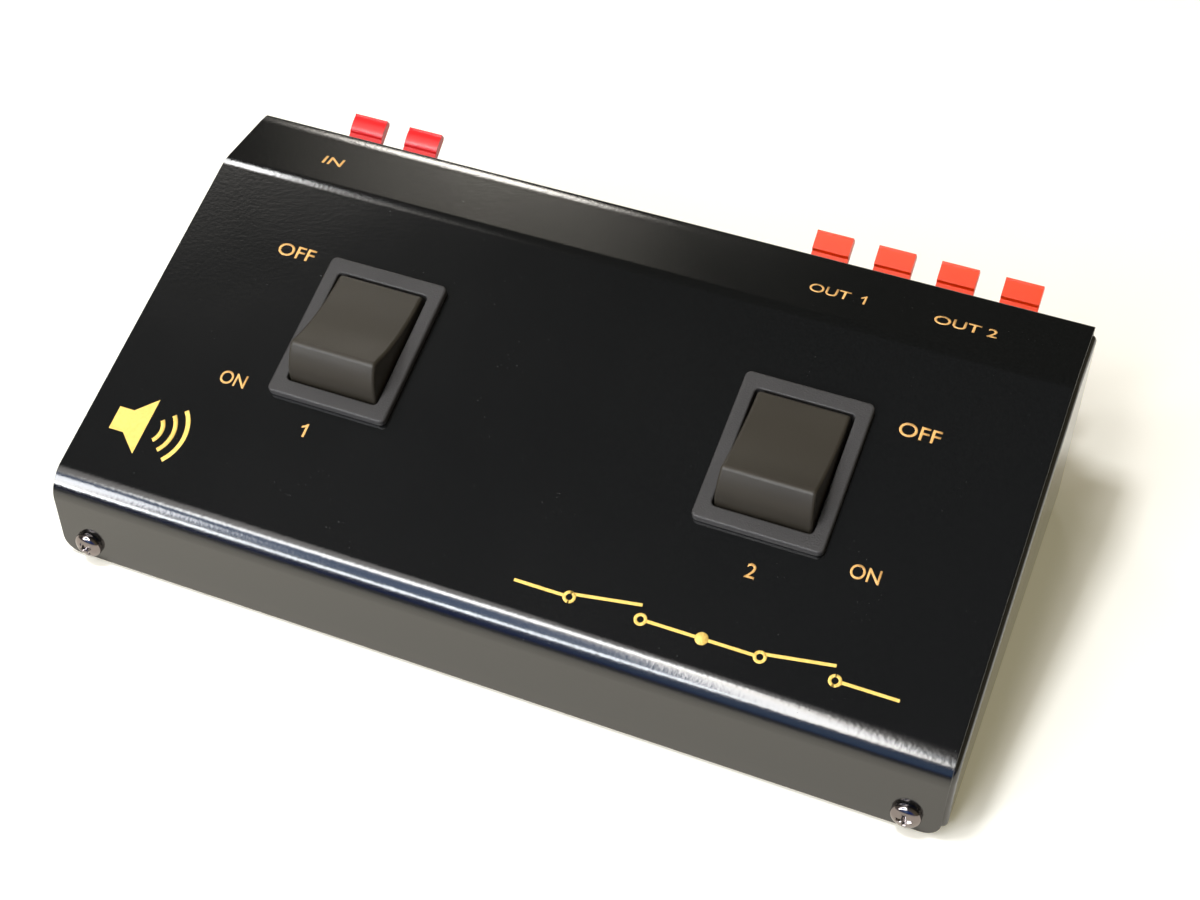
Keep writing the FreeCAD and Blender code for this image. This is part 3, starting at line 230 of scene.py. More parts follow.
def grow(mesh, face, move):
    """Thickens a face into a solid."""
    grown = bmesh.ops.extrude_face_region(mesh, geom=[face])["geom"]
    bmesh.ops.translate(mesh, vec=move, verts=verts_in(grown))


def slab(mesh, outline, depth):
    """An outline in the YZ plane, filled and thickened along X to both sides."""
    face = mesh.faces.new([mesh.verts.new((-depth / 2, y, z)) for y, z in outline])
    grow(mesh, face, (depth, 0, 0))


def cross_bar(mesh, radius, half):
    """A round bar along X."""
    made = bmesh.ops.create_cone(
        mesh, cap_ends=True, segments=32, radius1=radius, radius2=radius, depth=2 * half
    )["verts"]
    turn = UP.rotation_difference(RIGHT).to_matrix()
    bmesh.ops.rotate(mesh, cent=(0, 0, 0), matrix=turn, verts=made)


def lathe(mesh, outline, sides=48):
    """A closed solid turned about Z from (radius, height) points that start and end on it."""
    verts = [mesh.verts.new((radius, 0, height)) for radius, height in outline]
    edges = [mesh.edges.new(pair) for pair in zip(verts, verts[1:])]
    bmesh.ops.spin(
        mesh, geom=verts + edges, cent=(0, 0, 0), axis=UP, angle=math.tau, steps=sides,
        use_merge=True,
    )
    bmesh.ops.remove_doubles(mesh, verts=mesh.verts, dist=1e-4)


def new_object(mesh, name):
    data = bpy.data.meshes.new(name)
    mesh.to_mesh(data)
    mesh.free()
    thing = bpy.data.objects.new(name, data)
    bpy.context.scene.collection.objects.link(thing)
    return thing


def finished_mesh(thing):
    """An object's shape after its modifiers, to be worked on; the object itself goes."""
    bpy.context.view_layer.update()
    graph = bpy.context.evaluated_depsgraph_get()
    mesh = bmesh.new()
    mesh.from_mesh(bpy.data.meshes.new_from_object(thing.evaluated_get(graph)))
    bpy.data.objects.remove(thing)
    return mesh


def close(mesh, name, body, finish, place=Matrix(), stands_for=(), tidy=True):
    """Turns the mesh into a piece of the object, in its place, in metres.

    The folded sheets and the screws face outwards already, so they aren't tidied.
    """
    if tidy:
        bmesh.ops.recalc_face_normals(mesh, faces=mesh.faces)
    mesh.transform(Matrix.Diagonal((MM, MM, MM, 1)) @ place)
    for face in mesh.faces:
        face.smooth = True
    piece = new_object(mesh, name)
    piece.data.materials.append(finish)
    shading = piece.modifiers.new("even_shading", "WEIGHTED_NORMAL")
    shading.mode = "FACE_AREA"
    shading.weight = 50
    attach(piece, body)
    if stands_for:
        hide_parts(*stands_for)
    return piece


# ---------------------------------------------------------------- finishes


def colour(red, green, blue):
    return (red, green, blue, 1.0)


def shaded(shade, share):
    """A shade made darker or lighter."""
    return colour(*(channel * share for channel in shade))


class Value:
    """A shader socket that Python's operators work on."""

    def __init__(self, finish, socket):
        self.finish = finish
        self.socket = socket

    def __add__(self, other):
        return self.finish.maths("ADD", self, other)

    def __sub__(self, other):
        return self.finish.maths("SUBTRACT", self, other)

    def __mul__(self, other):
        return self.finish.maths("MULTIPLY", self, other)

    def __rsub__(self, other):
        return self.finish.maths("SUBTRACT", other, self)

    def __gt__(self, other):
        return self.finish.maths("GREATER_THAN", self, other)

    __radd__ = __add__
    __rmul__ = __mul__


class Nodes:
    """The nodes of a finish or of the room."""

    def __init__(self, tree):
        self.tree = tree

    def node(self, kind, settings=None, out=0, **sockets):
        """Adds a node, sets it up and feeds its sockets with values or links."""
        node = self.tree.nodes.new("ShaderNode" + kind)
        for word, value in (settings or {}).items():
            if word == "stops":
                self.fill_ramp(node.color_ramp, value)
            else:
                setattr(node, word, value)
        for word, value in sockets.items():
            key = int(word[1:]) if word[0] == "_" else word.replace("_", " ")
            self.feed(node.inputs[key], value)
        return Value(self, node.outputs[out])

    def feed(self, socket, value):
        if isinstance(value, Value):
            self.tree.links.new(value.socket, socket)
        else:
            socket.default_value = value

    def fill_ramp(self, ramp, stops):
        while len(ramp.elements) < len(stops):
            ramp.elements.new(0.5)
        for element, (at, shade) in zip(ramp.elements, stops):
            element.position = at
            element.color = colour(*shade)

    def maths(self, operation, first, second):
        return self.node("Math", {"operation": operation}, _0=first, _1=second)

    def ramp(self, factor, *stops):
        return self.node("ValToRGB", {"stops": stops}, out="Color", Fac=factor)

    def blend(self, factor, first, second):
        settings = {"data_type": "RGBA", "blend_type": "MIX"}
        return self.node("Mix", settings, out=2, Factor=factor, _6=first, _7=second)

    def smooth_step(self, value, near, far):
        """0 up to near, 1 from far on, and a soft passage between them."""
        return self.node(
            "MapRange", {"interpolation_type": "SMOOTHSTEP"}, out="Result", Value=value,
            From_Min=near, From_Max=far, To_Min=0.0, To_Max=1.0,
        )

    def looked_at_by(self, ray):
        return self.node("LightPath", out=f"Is {ray} Ray")

    def seen_direct(self):
        """1 where the eye, a mirror or clear glass looks, 0 for scattered light."""
        eye, mirror, glass = (self.looked_at_by(ray) for ray in ("Camera", "Glossy", "Transmission"))
        return eye + mirror + glass


class Finish(Nodes):
    """A material whose nodes end in one Principled shader."""

    def __init__(self, name, **fixed):
        self.material = bpy.data.materials.new(name)
        self.material.use_nodes = True
        super().__init__(self.material.node_tree)
        self.shader = self.tree.nodes["Principled BSDF"]
        for word, value in fixed.items():
            self.shader.inputs[word.replace("_", " ")].default_value = value

    def place(self):
        """Object coordinates."""
        return self.node("TexCoord", out="Object")

    def grain(self, size, detail=2.0, rough=0.5, stretch=(1, 1, 1)):
        """Noise whose features are about this many millimetres across."""
        spot = self.node("Mapping", Vector=self.place(), Scale=stretch)
        return self.node(
            "TexNoise", out="Fac", Vector=spot, Scale=1 / (size * MM), Detail=detail, Roughness=rough
        )

    def bump(self, height, microns):
        """Surface relief: height is 0 to 1, microns is how far that is."""
        depth = microns * 1e-6
        self.set("Normal", self.node("Bump", out="Normal", Strength=1.0, Distance=depth, Height=height))

    def set(self, word, value):
        self.feed(self.shader.inputs[word], value)

    def between(self, factor, low, high):
        """A number that runs from low to high with the factor."""
        return factor * (high - low) + low


def gloss_paint(name, index, smooth, dull):
    """Stoved gloss black on steel: orange peel, a finer ripple, faint dust and rubbed patches."""
    paint = Finish(name, IOR=index)
    peel = paint.grain(0.75, detail=2.0)
    ripple = paint.grain(0.35, detail=1.0)
    patches = paint.grain(34.0, detail=3.0)
    specks = paint.grain(0.4, detail=0.0) > 0.84
    dust = specks * (paint.grain(9.0) > 0.6)
    black = paint.blend(ripple, colour(0.0012, 0.0014, 0.0014), colour(0.0076, 0.0078, 0.0078))
    paint.set("Base Color", paint.blend(dust, black, colour(0.02, 0.02, 0.019)))
    paint.set("Roughness", paint.between(patches, smooth, dull) + dust * 0.15)
    paint.bump(peel * 0.8 + ripple * 0.12, 19.0)
    return paint.material


def moulded_plastic(name, shade, rough, grain_size, microns):
    """Satin moulding with a spark-eroded grain and slight shifts of shade."""
    plastic = Finish(name, IOR=1.5)
    grain = plastic.grain(grain_size, detail=3.0, rough=0.6)
    shifts = plastic.grain(11.0, detail=2.0)
    shift = 1.12
    plastic.set("Base Color", plastic.blend(shifts, shaded(shade, 1 / shift), shaded(shade, shift)))
    plastic.set("Roughness", plastic.between(shifts, rough - 0.05, rough + 0.05))
    plastic.bump(grain, microns)
    return plastic.material


def gloss_plastic(name, shade, rough):
    """Clear-coloured gloss moulding with fine flow lines across it."""
    plastic = Finish(name, IOR=1.5)
    flow = plastic.grain(0.7, detail=2.0, stretch=(0.08, 1, 1))
    streaks = plastic.grain(7.0, detail=2.0)
    mixed = streaks * 0.5 + flow * 0.5
    plastic.set("Base Color", plastic.blend(mixed, shaded(shade, 0.86), colour(*shade)))
    plastic.set("Roughness", plastic.between(flow, rough - 0.05, rough + 0.09))
    plastic.bump(flow, 4.0)
    return plastic.material


def metal(name, shade, rough, stretch=(1, 1, 1)):
    """Plated or drawn metal with fine lines and patches of dullness."""
    plate = Finish(name, Metallic=1.0)
    lines = plate.grain(0.6, detail=3.0, stretch=stretch)
    stains = plate.grain(5.0, detail=3.0)
    plate.set("Base Color", plate.blend(stains, shaded(shade, 0.8), colour(*shade)))
    plate.set("Roughness", plate.between(stains, rough * 0.75, rough * 1.3))
    plate.bump(lines, 2.0)
    return plate.material


def rubber(name, shade):
    """Dull rubber with fine pits and a little dust."""
    foot = Finish(name, IOR=1.45)
    pits = foot.grain(0.4, detail=3.0)
    dust = foot.grain(3.0, detail=3.0)
    foot.set("Base Color", foot.blend(dust, colour(*shade), shaded(shade, 2.0)))
    foot.set("Roughness", foot.between(dust, 0.7, 0.92))
    foot.bump(pits, 14.0)
    return foot.material


def laminate(name):
    """Brown paper board with its fibres."""
    board = Finish(name, IOR=1.5)
    fibres = board.grain(0.5, detail=4.0, stretch=(0.2, 1, 1))
    mottle = board.grain(3.0, detail=3.0)
    board.set("Base Color", board.blend(mottle, colour(0.24, 0.12, 0.05), colour(0.4, 0.23, 0.11)))
    board.set("Roughness", board.between(fibres, 0.5, 0.75))
    board.bump(fibres, 10.0)
    return board.material


def printing_ink(name, thin, full):
    """Golden screen-print ink: a little uneven, with a grainy edge of thickness."""
    ink = Finish(name, IOR=1.45)
    cover = ink.grain(0.7, detail=3.0)
    ink.set("Base Color", ink.blend(cover, colour(*thin), colour(*full)))
    ink.set("Roughness", ink.between(cover, 0.3, 0.5))
    ink.bump(ink.grain(0.25), 6.0)
    return ink.material


FINISHES = {
    "paint": gloss_paint("gloss_black_paint", 1.85, 0.1, 0.19),
    "tray_paint": gloss_paint("tray_black_paint", 1.85, 0.06, 0.13),
    "switch": moulded_plastic("switch_frame_plastic", (0.045, 0.043, 0.042), 0.45, 0.34, 85.0),
    "rocker": moulded_plastic("rocker_plastic", (0.034, 0.029, 0.021), 0.44, 0.2, 14.0),
    "block": moulded_plastic("block_plastic", (0.02, 0.02, 0.021), 0.3, 0.5, 4.0),
    "input_red": gloss_plastic("crimson_lever_plastic", (0.85, 0.022, 0.024), 0.2),
    "output_red": gloss_plastic("orange_red_lever_plastic", (0.97, 0.055, 0.004), 0.34),
    "black_lever": gloss_plastic("black_lever_plastic", (0.014, 0.014, 0.015), 0.2),
    "screw": metal("black_nickel", (0.3, 0.265, 0.26), 0.14),
    "nut": metal("zinc_plate", (0.62, 0.63, 0.66), 0.34),
    "contact": metal("tinned_brass", (0.72, 0.66, 0.5), 0.3, stretch=(1, 0.15, 1)),
    "spring": metal("spring_steel", (0.55, 0.55, 0.58), 0.25, stretch=(0.2, 1, 1)),
    "plunger": moulded_plastic("natural_plastic", (0.7, 0.68, 0.62), 0.4, 0.5, 4.0),
    "rubber": rubber("foot_rubber", (0.02, 0.02, 0.021)),
    "board": laminate("paper_laminate"),
    "red_wire": moulded_plastic("red_insulation", (0.55, 0.02, 0.02), 0.4, 1.2, 6.0),
    "black_wire": moulded_plastic("black_insulation", (0.02, 0.02, 0.02), 0.4, 1.2, 6.0),
    "ink": printing_ink("golden_ink", (0.7, 0.36, 0.1), (0.88, 0.52, 0.19)),
    "sign_ink": printing_ink("yellow_gold_ink", (0.85, 0.52, 0.1), (0.97, 0.7, 0.2)),
}


def dress_inner_nodes():
    """Gives each node that keeps its own shape its finish."""
    kinds = {
        "plungers": "plunger",
        "springs": "spring",
        "contact_levers": "contact",
        "terminals": "contact",
        "contact_strips": "contact",
        "nuts": "nut",
        "back_board": "board",
        "common_negative_wires": "black_wire",
        "wires": "red_wire",
    }
    for name, thing in frame["nodes"].items():
        kind = next((kinds[word] for word in kinds if name.endswith(word)), None)
        if kind:
            thing.data.materials.clear()
            thing.data.materials.append(FINISHES[kind])


# ---------------------------------------------------------------- the case


def case_outline(inset, bottom):
    """(y, z) corners of the case seen from its side, inset from the cover's outer faces."""
    slope_inset = inset / math.cos(SLOPE)
    front_top = cover_low.z + FRONT_HEIGHT + inset * math.tan(SLOPE) - slope_inset
    top = cover_high.z - inset
    crease = cover_low.y + (top - (cover_low.z + FRONT_HEIGHT - slope_inset)) / math.tan(SLOPE)
    return [
        (cover_low.y + inset, bottom),
        (cover_low.y + inset, front_top),
        (crease, top),
        (cover_high.y - inset, top),
        (cover_high.y - inset, bottom),
    ]


def bend(mesh, corner, radius, turn, segments):
    """Rounds the fold that runs along X through a corner of the outline."""

    def on_corner(edge):
        spot = middle(edge)
        near = abs(spot.y - corner[0]) < NEAR and abs(spot.z - corner[1]) < NEAR
        return near and length_along(edge, 0) > 1

    start = radius * math.tan(turn / 2)
    soften(mesh, edges_where(mesh, on_corner), start, segments)


def fold(outline, half):
    """The case's faces as one thin folded sheet, without thickness."""
    mesh = bmesh.new()
    verts = [mesh.verts.new((-half, y, z)) for y, z in outline]
    edges = [mesh.edges.new(pair) for pair in zip(verts, verts[1:])]
    grown = bmesh.ops.extrude_edge_only(mesh, edges=edges)["geom"]
    bmesh.ops.translate(mesh, vec=(2 * half, 0, 0), verts=verts_in(grown))
    return mesh


def panel_frame(side=0.0):
    """The sloping panel's plane: X across, Y up the slope, origin at the switches' height."""
    spot = Vector((side, cover_low.y, cover_low.z + FRONT_HEIGHT))
    up_slope = Vector((0, math.cos(SLOPE), math.sin(SLOPE)))
    return Matrix.Translation(spot + up_slope * SWITCH_RISE) @ rotation(SLOPE, "X")


def window(mesh, place, half_x, half_y):
    """Cuts a rectangular hole through the sheet, in the XY plane of a frame."""
    for direction, reach in ((place.col[0].to_3d(), half_x), (place.col[1].to_3d(), half_y)):
        for side in (-1, 1):
            cut(mesh, place.translation + direction * side * reach, direction)
    inverse = place.inverted()

    def inside(face):
        spot = inverse @ middle(face)
        return abs(spot.x) < half_x and abs(spot.y) < half_y and abs(spot.z) < SHEET

    bmesh.ops.delete(mesh, geom=faces_where(mesh, inside), context="FACES")


def thicken(mesh, face, outward):
    """Gives the sheet its thickness inwards and breaks the edges of the cut metal.

    The face is one that has to look outward.
    """
    bmesh.ops.recalc_face_normals(mesh, faces=mesh.faces)
    if face.normal.dot(outward) < 0:
        bmesh.ops.reverse_faces(mesh, faces=mesh.faces)
    bmesh.ops.solidify(mesh, geom=mesh.faces, thickness=SHEET)
    soften(mesh, sharp_edges(mesh, 50), EDGE_BREAK, 2)


def top_cover():
    """Front wall, panel, shelf and rear wall; the shelf dips a little before the rear bend."""
    half = (cover_high.x - cover_low.x) / 2
    outline = case_outline(0, cover_low.z)
    rear, top = outline[3]
    outline[3:4] = [(rear - LIP_REACH, top), (rear, top - LIP_REACH * math.tan(LIP_TURN))]
    mesh = fold(outline, half)
    bend(mesh, outline[1], FRONT_BEND, math.pi / 2 - SLOPE, 16)
    bend(mesh, outline[2], CREASE_BEND, SLOPE, 8)
    bend(mesh, outline[3], LIP_BEND, LIP_TURN, 6)
    bend(mesh, outline[4], REAR_BEND, math.pi / 2 - LIP_TURN, 6)
    corners = [v for v in mesh.verts if abs(v.co.z - cover_low.z) < NEAR]
    soften(mesh, corners, COVER_CORNER, 6, "VERTICES")
    for joint in ("switch_1_rock", "switch_2_rock"):
        place = panel_frame(JOINTS[joint].x)
        window(mesh, place, HOUSING.x / 2 + CUTOUT_GAP, HOUSING.y / 2 + CUTOUT_GAP)
    for name in ("input", "output"):
        place, columns = block_frame(name)
        turn = rotation(-math.pi / 2, "X")
        wide = len(columns) * CELL_PITCH / 2 + CUTOUT_GAP
        window(mesh, place @ turn, wide, inner_half_height(name) + CUTOUT_GAP)
    thicken(mesh, max(mesh.faces, key=lambda face: face.calc_area()), UP)
    close(mesh, "cover_shell", "case", FINISHES["paint"], stands_for=["top_cover"],
          tidy=False)


def base_tray():
    """Bottom and side walls with the flanges that the cover lies on."""
    half = (tray_high.x - tray_low.x) / 2
    bottom = tray_low.z
    outline = case_outline(LINING, bottom)
    mesh = bmesh.new()
    slab(mesh, outline, 2 * half)
    for corner, radius, turn, segments in (
        (outline[0], TRAY_CORNER, math.pi / 2, 5),
        (outline[1], FRONT_BEND - LINING, math.pi / 2 - SLOPE, 8),
        (outline[2], CREASE_BEND - LINING, SLOPE, 6),
        (outline[3], TRAY_CORNER, math.pi / 2, 5),
        (outline[4], TRAY_CORNER, math.pi / 2, 5),
    ):
        bend(mesh, corner, radius, turn, segments)
    ends = [e for e in sharp_edges(mesh, 30) if abs(abs(middle(e).x) - half) < NEAR]
    soften(mesh, ends, TRAY_BEND, 5)
    for side in (-1, 1):
        cut(mesh, (side * (half - FLANGE), 0, 0), RIGHT)
    cut(mesh, (0, 0, bottom + TRAY_CORNER), UP)

    def open_top(face):
        spot = middle(face)
        return abs(spot.x) < half - FLANGE and spot.z > bottom + TRAY_CORNER

    bmesh.ops.delete(mesh, geom=faces_where(mesh, open_top), context="FACES")
    thicken(mesh, min(mesh.faces, key=lambda face: middle(face).z), -UP)
    close(mesh, "tray_shell", "case", FINISHES["tray_paint"], stands_for=["base_tray"],
          tidy=False)


def rubber_feet():
    """Four discs with a rounded foot and a shallow hollow under them."""
    low, high = box_of("rubber_feet")
    radius, edge, rim, hollow = FOOT_RADIUS, FOOT_EDGE, FOOT_RIM, FOOT_HOLLOW
    mesh = bmesh.new()
    lathe(mesh, [
        (0, high.z), (radius, high.z), (radius, edge), (radius - 0.3 * edge, 0.3 * edge),
        (radius - edge, 0), (radius - rim, 0), (radius - rim - 0.4, hollow), (0, hollow),
    ])
    source = mesh.verts[:] + mesh.edges[:] + mesh.faces[:]
    first = (low.x + radius, low.y + radius)
    last = (high.x - radius, high.y - radius)
    for x, y in ((first[0], last[1]), (last[0], first[1]), last):
        copy = bmesh.ops.duplicate(mesh, geom=source)["geom"]
        bmesh.ops.translate(mesh, vec=(x, y, 0), verts=verts_in(copy))
    bmesh.ops.translate(mesh, vec=(*first, 0), verts=verts_in(source))
    close(mesh, "feet", "case", FINISHES["rubber"], stands_for=["rubber_feet"])


# ---------------------------------------------------------------- screws

SCREW_HEAD = 2.85
HEAD_HEIGHT = 2.0
HEAD_CROWN = 1.25
CROWN_POWER = 1.2
SHANK = 1.45
SHANK_LENGTH = 7.0
THREAD_PITCH = 0.5
THREAD_DEPTH = 0.22
THREAD_TURNS = 13
RECESS_SPAN = 1.75
RECESS_WIDTH = 0.95
RECESS_DEPTH = 1.4
RECESS_TAPER = (0.5, 0.75, 1)


def cross_cutter():
    """The tapered cross of a screwdriver's tip, pointing down from over the top of a head."""
    mesh = bmesh.new()
    above = 0.5
    top = HEAD_HEIGHT + above
    for turn in (0, math.pi / 2):
        made = block(mesh, (-RECESS_SPAN, -RECESS_WIDTH / 2, top - RECESS_DEPTH - above),
                     (RECESS_SPAN, RECESS_WIDTH / 2, top))
        deep = [vert for vert in made if vert.co.z < top - NEAR]
        bmesh.ops.scale(mesh, vec=RECESS_TAPER, verts=deep)
        bmesh.ops.rotate(mesh, cent=(0, 0, 0), matrix=rotation(turn, "Z").to_3x3(), verts=made)
    return mesh


def carved(body_mesh, cutter_mesh):
    """The first mesh less the second."""
    body, cutter = new_object(body_mesh, "blank"), new_object(cutter_mesh, "cutter")
    step = body.modifiers.new("carve", "BOOLEAN")
    step.operation = "DIFFERENCE"
    step.object = cutter
    step.solver = "EXACT"
    step.use_self = True
    result = finished_mesh(body)
    bpy.data.objects.remove(cutter)
    return result


def screw_blank():
    """A pan-head screw about Z: its seat at height 0, its head upwards, its cross cut."""
    mesh = bmesh.new()
    shoulder = HEAD_HEIGHT - HEAD_CROWN
    dome = [(SCREW_HEAD * math.sin(a), shoulder + HEAD_CROWN * math.cos(a) ** CROWN_POWER)
            for a in (math.pi / 2 * step / 9 for step in range(10))]
    thread = []
    for turn in range(THREAD_TURNS):
        low = -(turn + 1) * THREAD_PITCH
        thread += [(SHANK, low + 0.14), (SHANK - THREAD_DEPTH, low - 0.11)]
    seat = [(SCREW_HEAD, EDGE_BREAK), (SCREW_HEAD - EDGE_BREAK, 0), (SHANK, 0)]
    end = [(SHANK - 0.3, -SHANK_LENGTH), (0, -SHANK_LENGTH)]
    lathe(mesh, dome + seat + thread + end, 40)
    mesh = carved(mesh, cross_cutter())
    bmesh.ops.remove_doubles(mesh, verts=mesh.verts, dist=1e-3)
    return mesh


def screws(name, node, out, turns):
    """A pair of screws, each at its seat with its own turn of the cross in degrees."""
    low, high = box_of(node)
    seat = high.y - HEAD_HEIGHT if out == BACK else low.y + HEAD_HEIGHT
    level = (low.z + high.z) / 2
    mesh = bmesh.new()
    blank = bpy.data.meshes.new("screw")
    source = screw_blank()
    source.to_mesh(blank)
    source.free()
    to_wall = UP.rotation_difference(out).to_matrix().to_4x4()
    for x, turn in zip((low.x + SCREW_HEAD, high.x - SCREW_HEAD), turns):
        before = set(mesh.verts)
        mesh.from_mesh(blank)
        fresh = [vert for vert in mesh.verts if vert not in before]
        spot = Matrix.Translation((x, seat, level))
        place = spot @ to_wall @ rotation(math.radians(turn), "Z")
        bmesh.ops.transform(mesh, matrix=place, verts=fresh)
    piece = close(mesh, name, "case", FINISHES["screw"], stands_for=[node],
                  tidy=False)
    piece.data.set_sharp_from_angle(angle=math.radians(35))


def all_screws():
    screws("front_screws", "front_cover_screws", -BACK, (28, 8))
    screws("rear_screws", "rear_cover_screws", BACK, (40, 15))
    screws("input_block_screws", "input_terminal_screws", BACK, (12, 51))
    screws("output_block_screws", "output_terminal_screws", BACK, (70, 33))


# ---------------------------------------------------------------- rocker switches


def switch_frame(which):
    """Bezel, well and housing in one moulding."""
    mesh = bmesh.new()
    block(mesh, (-BEZEL.x / 2, -BEZEL.y / 2, 0), (BEZEL.x / 2, BEZEL.y / 2, BEZEL.z))
    soften(mesh, edges_where(mesh, lambda edge: length_along(edge, 2) > 0.5), BEZEL_CORNER, 6)
    top = max(mesh.faces, key=lambda face: middle(face).z)
    bottom = min(mesh.faces, key=lambda face: middle(face).z)
    well = push(mesh, [top], scale=(OPENING.x / BEZEL.x, OPENING.y / BEZEL.y, 1))
    push(mesh, well, move=(0, 0, -(BEZEL.z + HOUSING.z - WELL_FLOOR)))
    box = push(mesh, [bottom], scale=(HOUSING.x / BEZEL.x, HOUSING.y / BEZEL.y, 1))
    push(mesh, box, move=(0, 0, -HOUSING.z))

    def at_height(edge, height):
        return all(abs(vert.co.z - height) < NEAR for vert in edge.verts)

    def beyond(spot, size, margin):
        """Whether a place lies outside a rectangle to the side, and to the front or rear."""
        return abs(spot.x) > size.x / 2 + margin, abs(spot.y) > size.y / 2 + margin

    def outer(edge):
        return any(
            any(beyond(v.co, BEZEL, -NEAR)) or all(beyond(v.co, OPENING, 0.3)) for v in edge.verts
        )

    rims = [e for e in sharp_edges(mesh, 60) if at_height(e, BEZEL.z)]
    inside = [e for e in rims if not outer(e)]
    soften(mesh, [e for e in rims if outer(e)], BEZEL_EDGE, 4)
    soften(mesh, [e for e in inside if e.is_valid], OPENING_EDGE, 3)
    foot = [e for e in sharp_edges(mesh, 60)
            if at_height(e, 0) and any(beyond(middle(e), HOUSING, 0.5))]
    soften(mesh, foot, BEZEL_FOOT, 1)
    name = f"switch_{which}_body"
    place = panel_frame(JOINTS[f"switch_{which}_rock"].x)
    close(mesh, f"switch_{which}_frame", "case", FINISHES["switch"], place, [name])


def rocker(which):
    """A sector of a disc about its pivot, with a hollowed top and softened corners."""
    mesh = bmesh.new()
    out, up = ROCKER_RADIUS * math.sin(RIDGE_ANGLE), ROCKER_RADIUS * math.cos(RIDGE_ANGLE)
    dish = (out**2 + ROCKER_SAG**2) / (2 * ROCKER_SAG)
    dish_turn = 2 * math.asin(out / dish)
    dish_centre = Vector((0, 0, up - ROCKER_SAG + dish))
    skirt_turn = SKIRT_ANGLE - RIDGE_ANGLE

    def sweep(vert, centre, angle):
        made = bmesh.ops.spin(
            mesh, geom=[vert], cent=centre, axis=RIGHT, angle=angle, steps=ROCKER_STEPS,
            use_merge=False,
        )
        return made["geom_last"][0]

    start = mesh.verts.new(rotation(skirt_turn, "X") @ Vector((0, -out, up)))
    near = sweep(start, Vector(), -skirt_turn)
    far = sweep(near, dish_centre, dish_turn)
    end = sweep(far, Vector(), -skirt_turn)
    mesh.edges.new((end, start))
    face = bmesh.ops.contextual_create(mesh, geom=mesh.edges[:])["faces"][0]
    bmesh.ops.translate(mesh, vec=(-ROCKER_HALF, 0, 0), verts=mesh.verts)
    grow(mesh, face, (2 * ROCKER_HALF, 0, 0))
    for vert in mesh.verts:
        if vert.co.z > 0:
            vert.co.x *= 1 - vert.co.z * math.tan(ROCKER_TAPER) / ROCKER_HALF
    ridges = [e for e in sharp_edges(mesh, 35) if abs(middle(e).x) < 1 and middle(e).z > 0]
    soften(mesh, ridges, RIDGE_ROUND, 5)
    flanks = [e for e in sharp_edges(mesh, 60) if abs(middle(e).x) > ROCKER_HALF / 2]
    soften(mesh, flanks, FLANK_ROUND, 4)
    pivot = JOINTS[f"switch_{which}_rock"]
    place = Matrix.Translation(pivot) @ rotation(SLOPE - ROCKER_TILT, "X")
    body = f"switch_{which}_rocker"
    close(mesh, f"switch_{which}_key", body, FINISHES["rocker"], place, [body])


# ---------------------------------------------------------------- push-terminal blocks


def block_frame(name):
    """The block's frame on the rear wall, and the X of its columns from its middle."""
    levers = [spot for joint, spot in JOINTS.items() if joint.startswith(f"{name}_red_lever")]
    columns = sorted(spot.x for spot in levers)
    centre_x = (columns[0] + columns[-1]) / 2
    low, high = box_of(f"{name}_terminal_back_board")
    spot = Vector((centre_x, cover_high.y, (low.z + high.z) / 2))
    return Matrix.Translation(spot), [x - centre_x for x in columns]


def inner_half_height(name):
    low, high = box_of(f"{name}_terminal_back_board")
    return (high.z - low.z) / 2


def row_levels(name, centre_z):
    """Heights of the levers' pivots above the block's middle, upper row first."""
    return [JOINTS[f"{name}_{shade}_lever_1_press"].z - centre_z for shade in ("red", "black")]


def draw_ears(mesh, wide):
    """Two fixing ears, drawn out of the ends of the housing's flange."""
    for side in (-1, 1):
        cut(mesh, (0, 0, side * EAR.z / 2), UP)
    cut(mesh, (0, EAR.y, 0), BACK)

    def root(side):
        return lambda face: (
            abs(middle(face).x - side * wide) < NEAR
            and abs(middle(face).z) < EAR.z / 2
            and 0 < middle(face).y < EAR.y
        )

    for side in (-1, 1):
        push(mesh, faces_where(mesh, root(side)), move=(side * EAR.x, 0, 0))


def front_faces(mesh, x, half, low, high):
    """The faces of a housing's front inside the outline of an opening."""

    def inside(face):
        spot = middle(face)
        on_front = abs(spot.y - FLANGE_OUT) < NEAR
        return on_front and abs(spot.x - x) < half and low < spot.z < high

    return faces_where(mesh, inside)


def open_cell(mesh, x, half, low, high):
    """A lever's window, and behind it the cell with its lowered floor."""
    faces = front_faces(mesh, x, half, low, high)
    throat = push(mesh, faces, move=(0, -FLANGE_OUT - CELL_FRONT, 0))
    push(mesh, throat, move=(0, CELL_FRONT + CELL_BACK - BLOCK_DEPTH, 0))

    def cell_floor(face):
        spot = middle(face)
        flat = abs(spot.z - low) < NEAR and abs(face.normal.z) > 0.9
        return flat and abs(spot.x - x) < half and spot.y < -CELL_FRONT

    drop = CELL_FLOOR_DROP + WINDOW_RISE - WINDOW.z
    push(mesh, faces_where(mesh, cell_floor), move=(0, 0, -drop))


def open_funnel(mesh, x, half, low, high):
    """A wire's way in: a funnel, and a straight throat behind it."""
    faces = front_faces(mesh, x, half, low, high)
    throat = push(mesh, faces, move=(0, -FUNNEL.y, 0), scale=FUNNEL_TAPER)
    push(mesh, throat, move=(0, FUNNEL.y - FLANGE_OUT, 0))


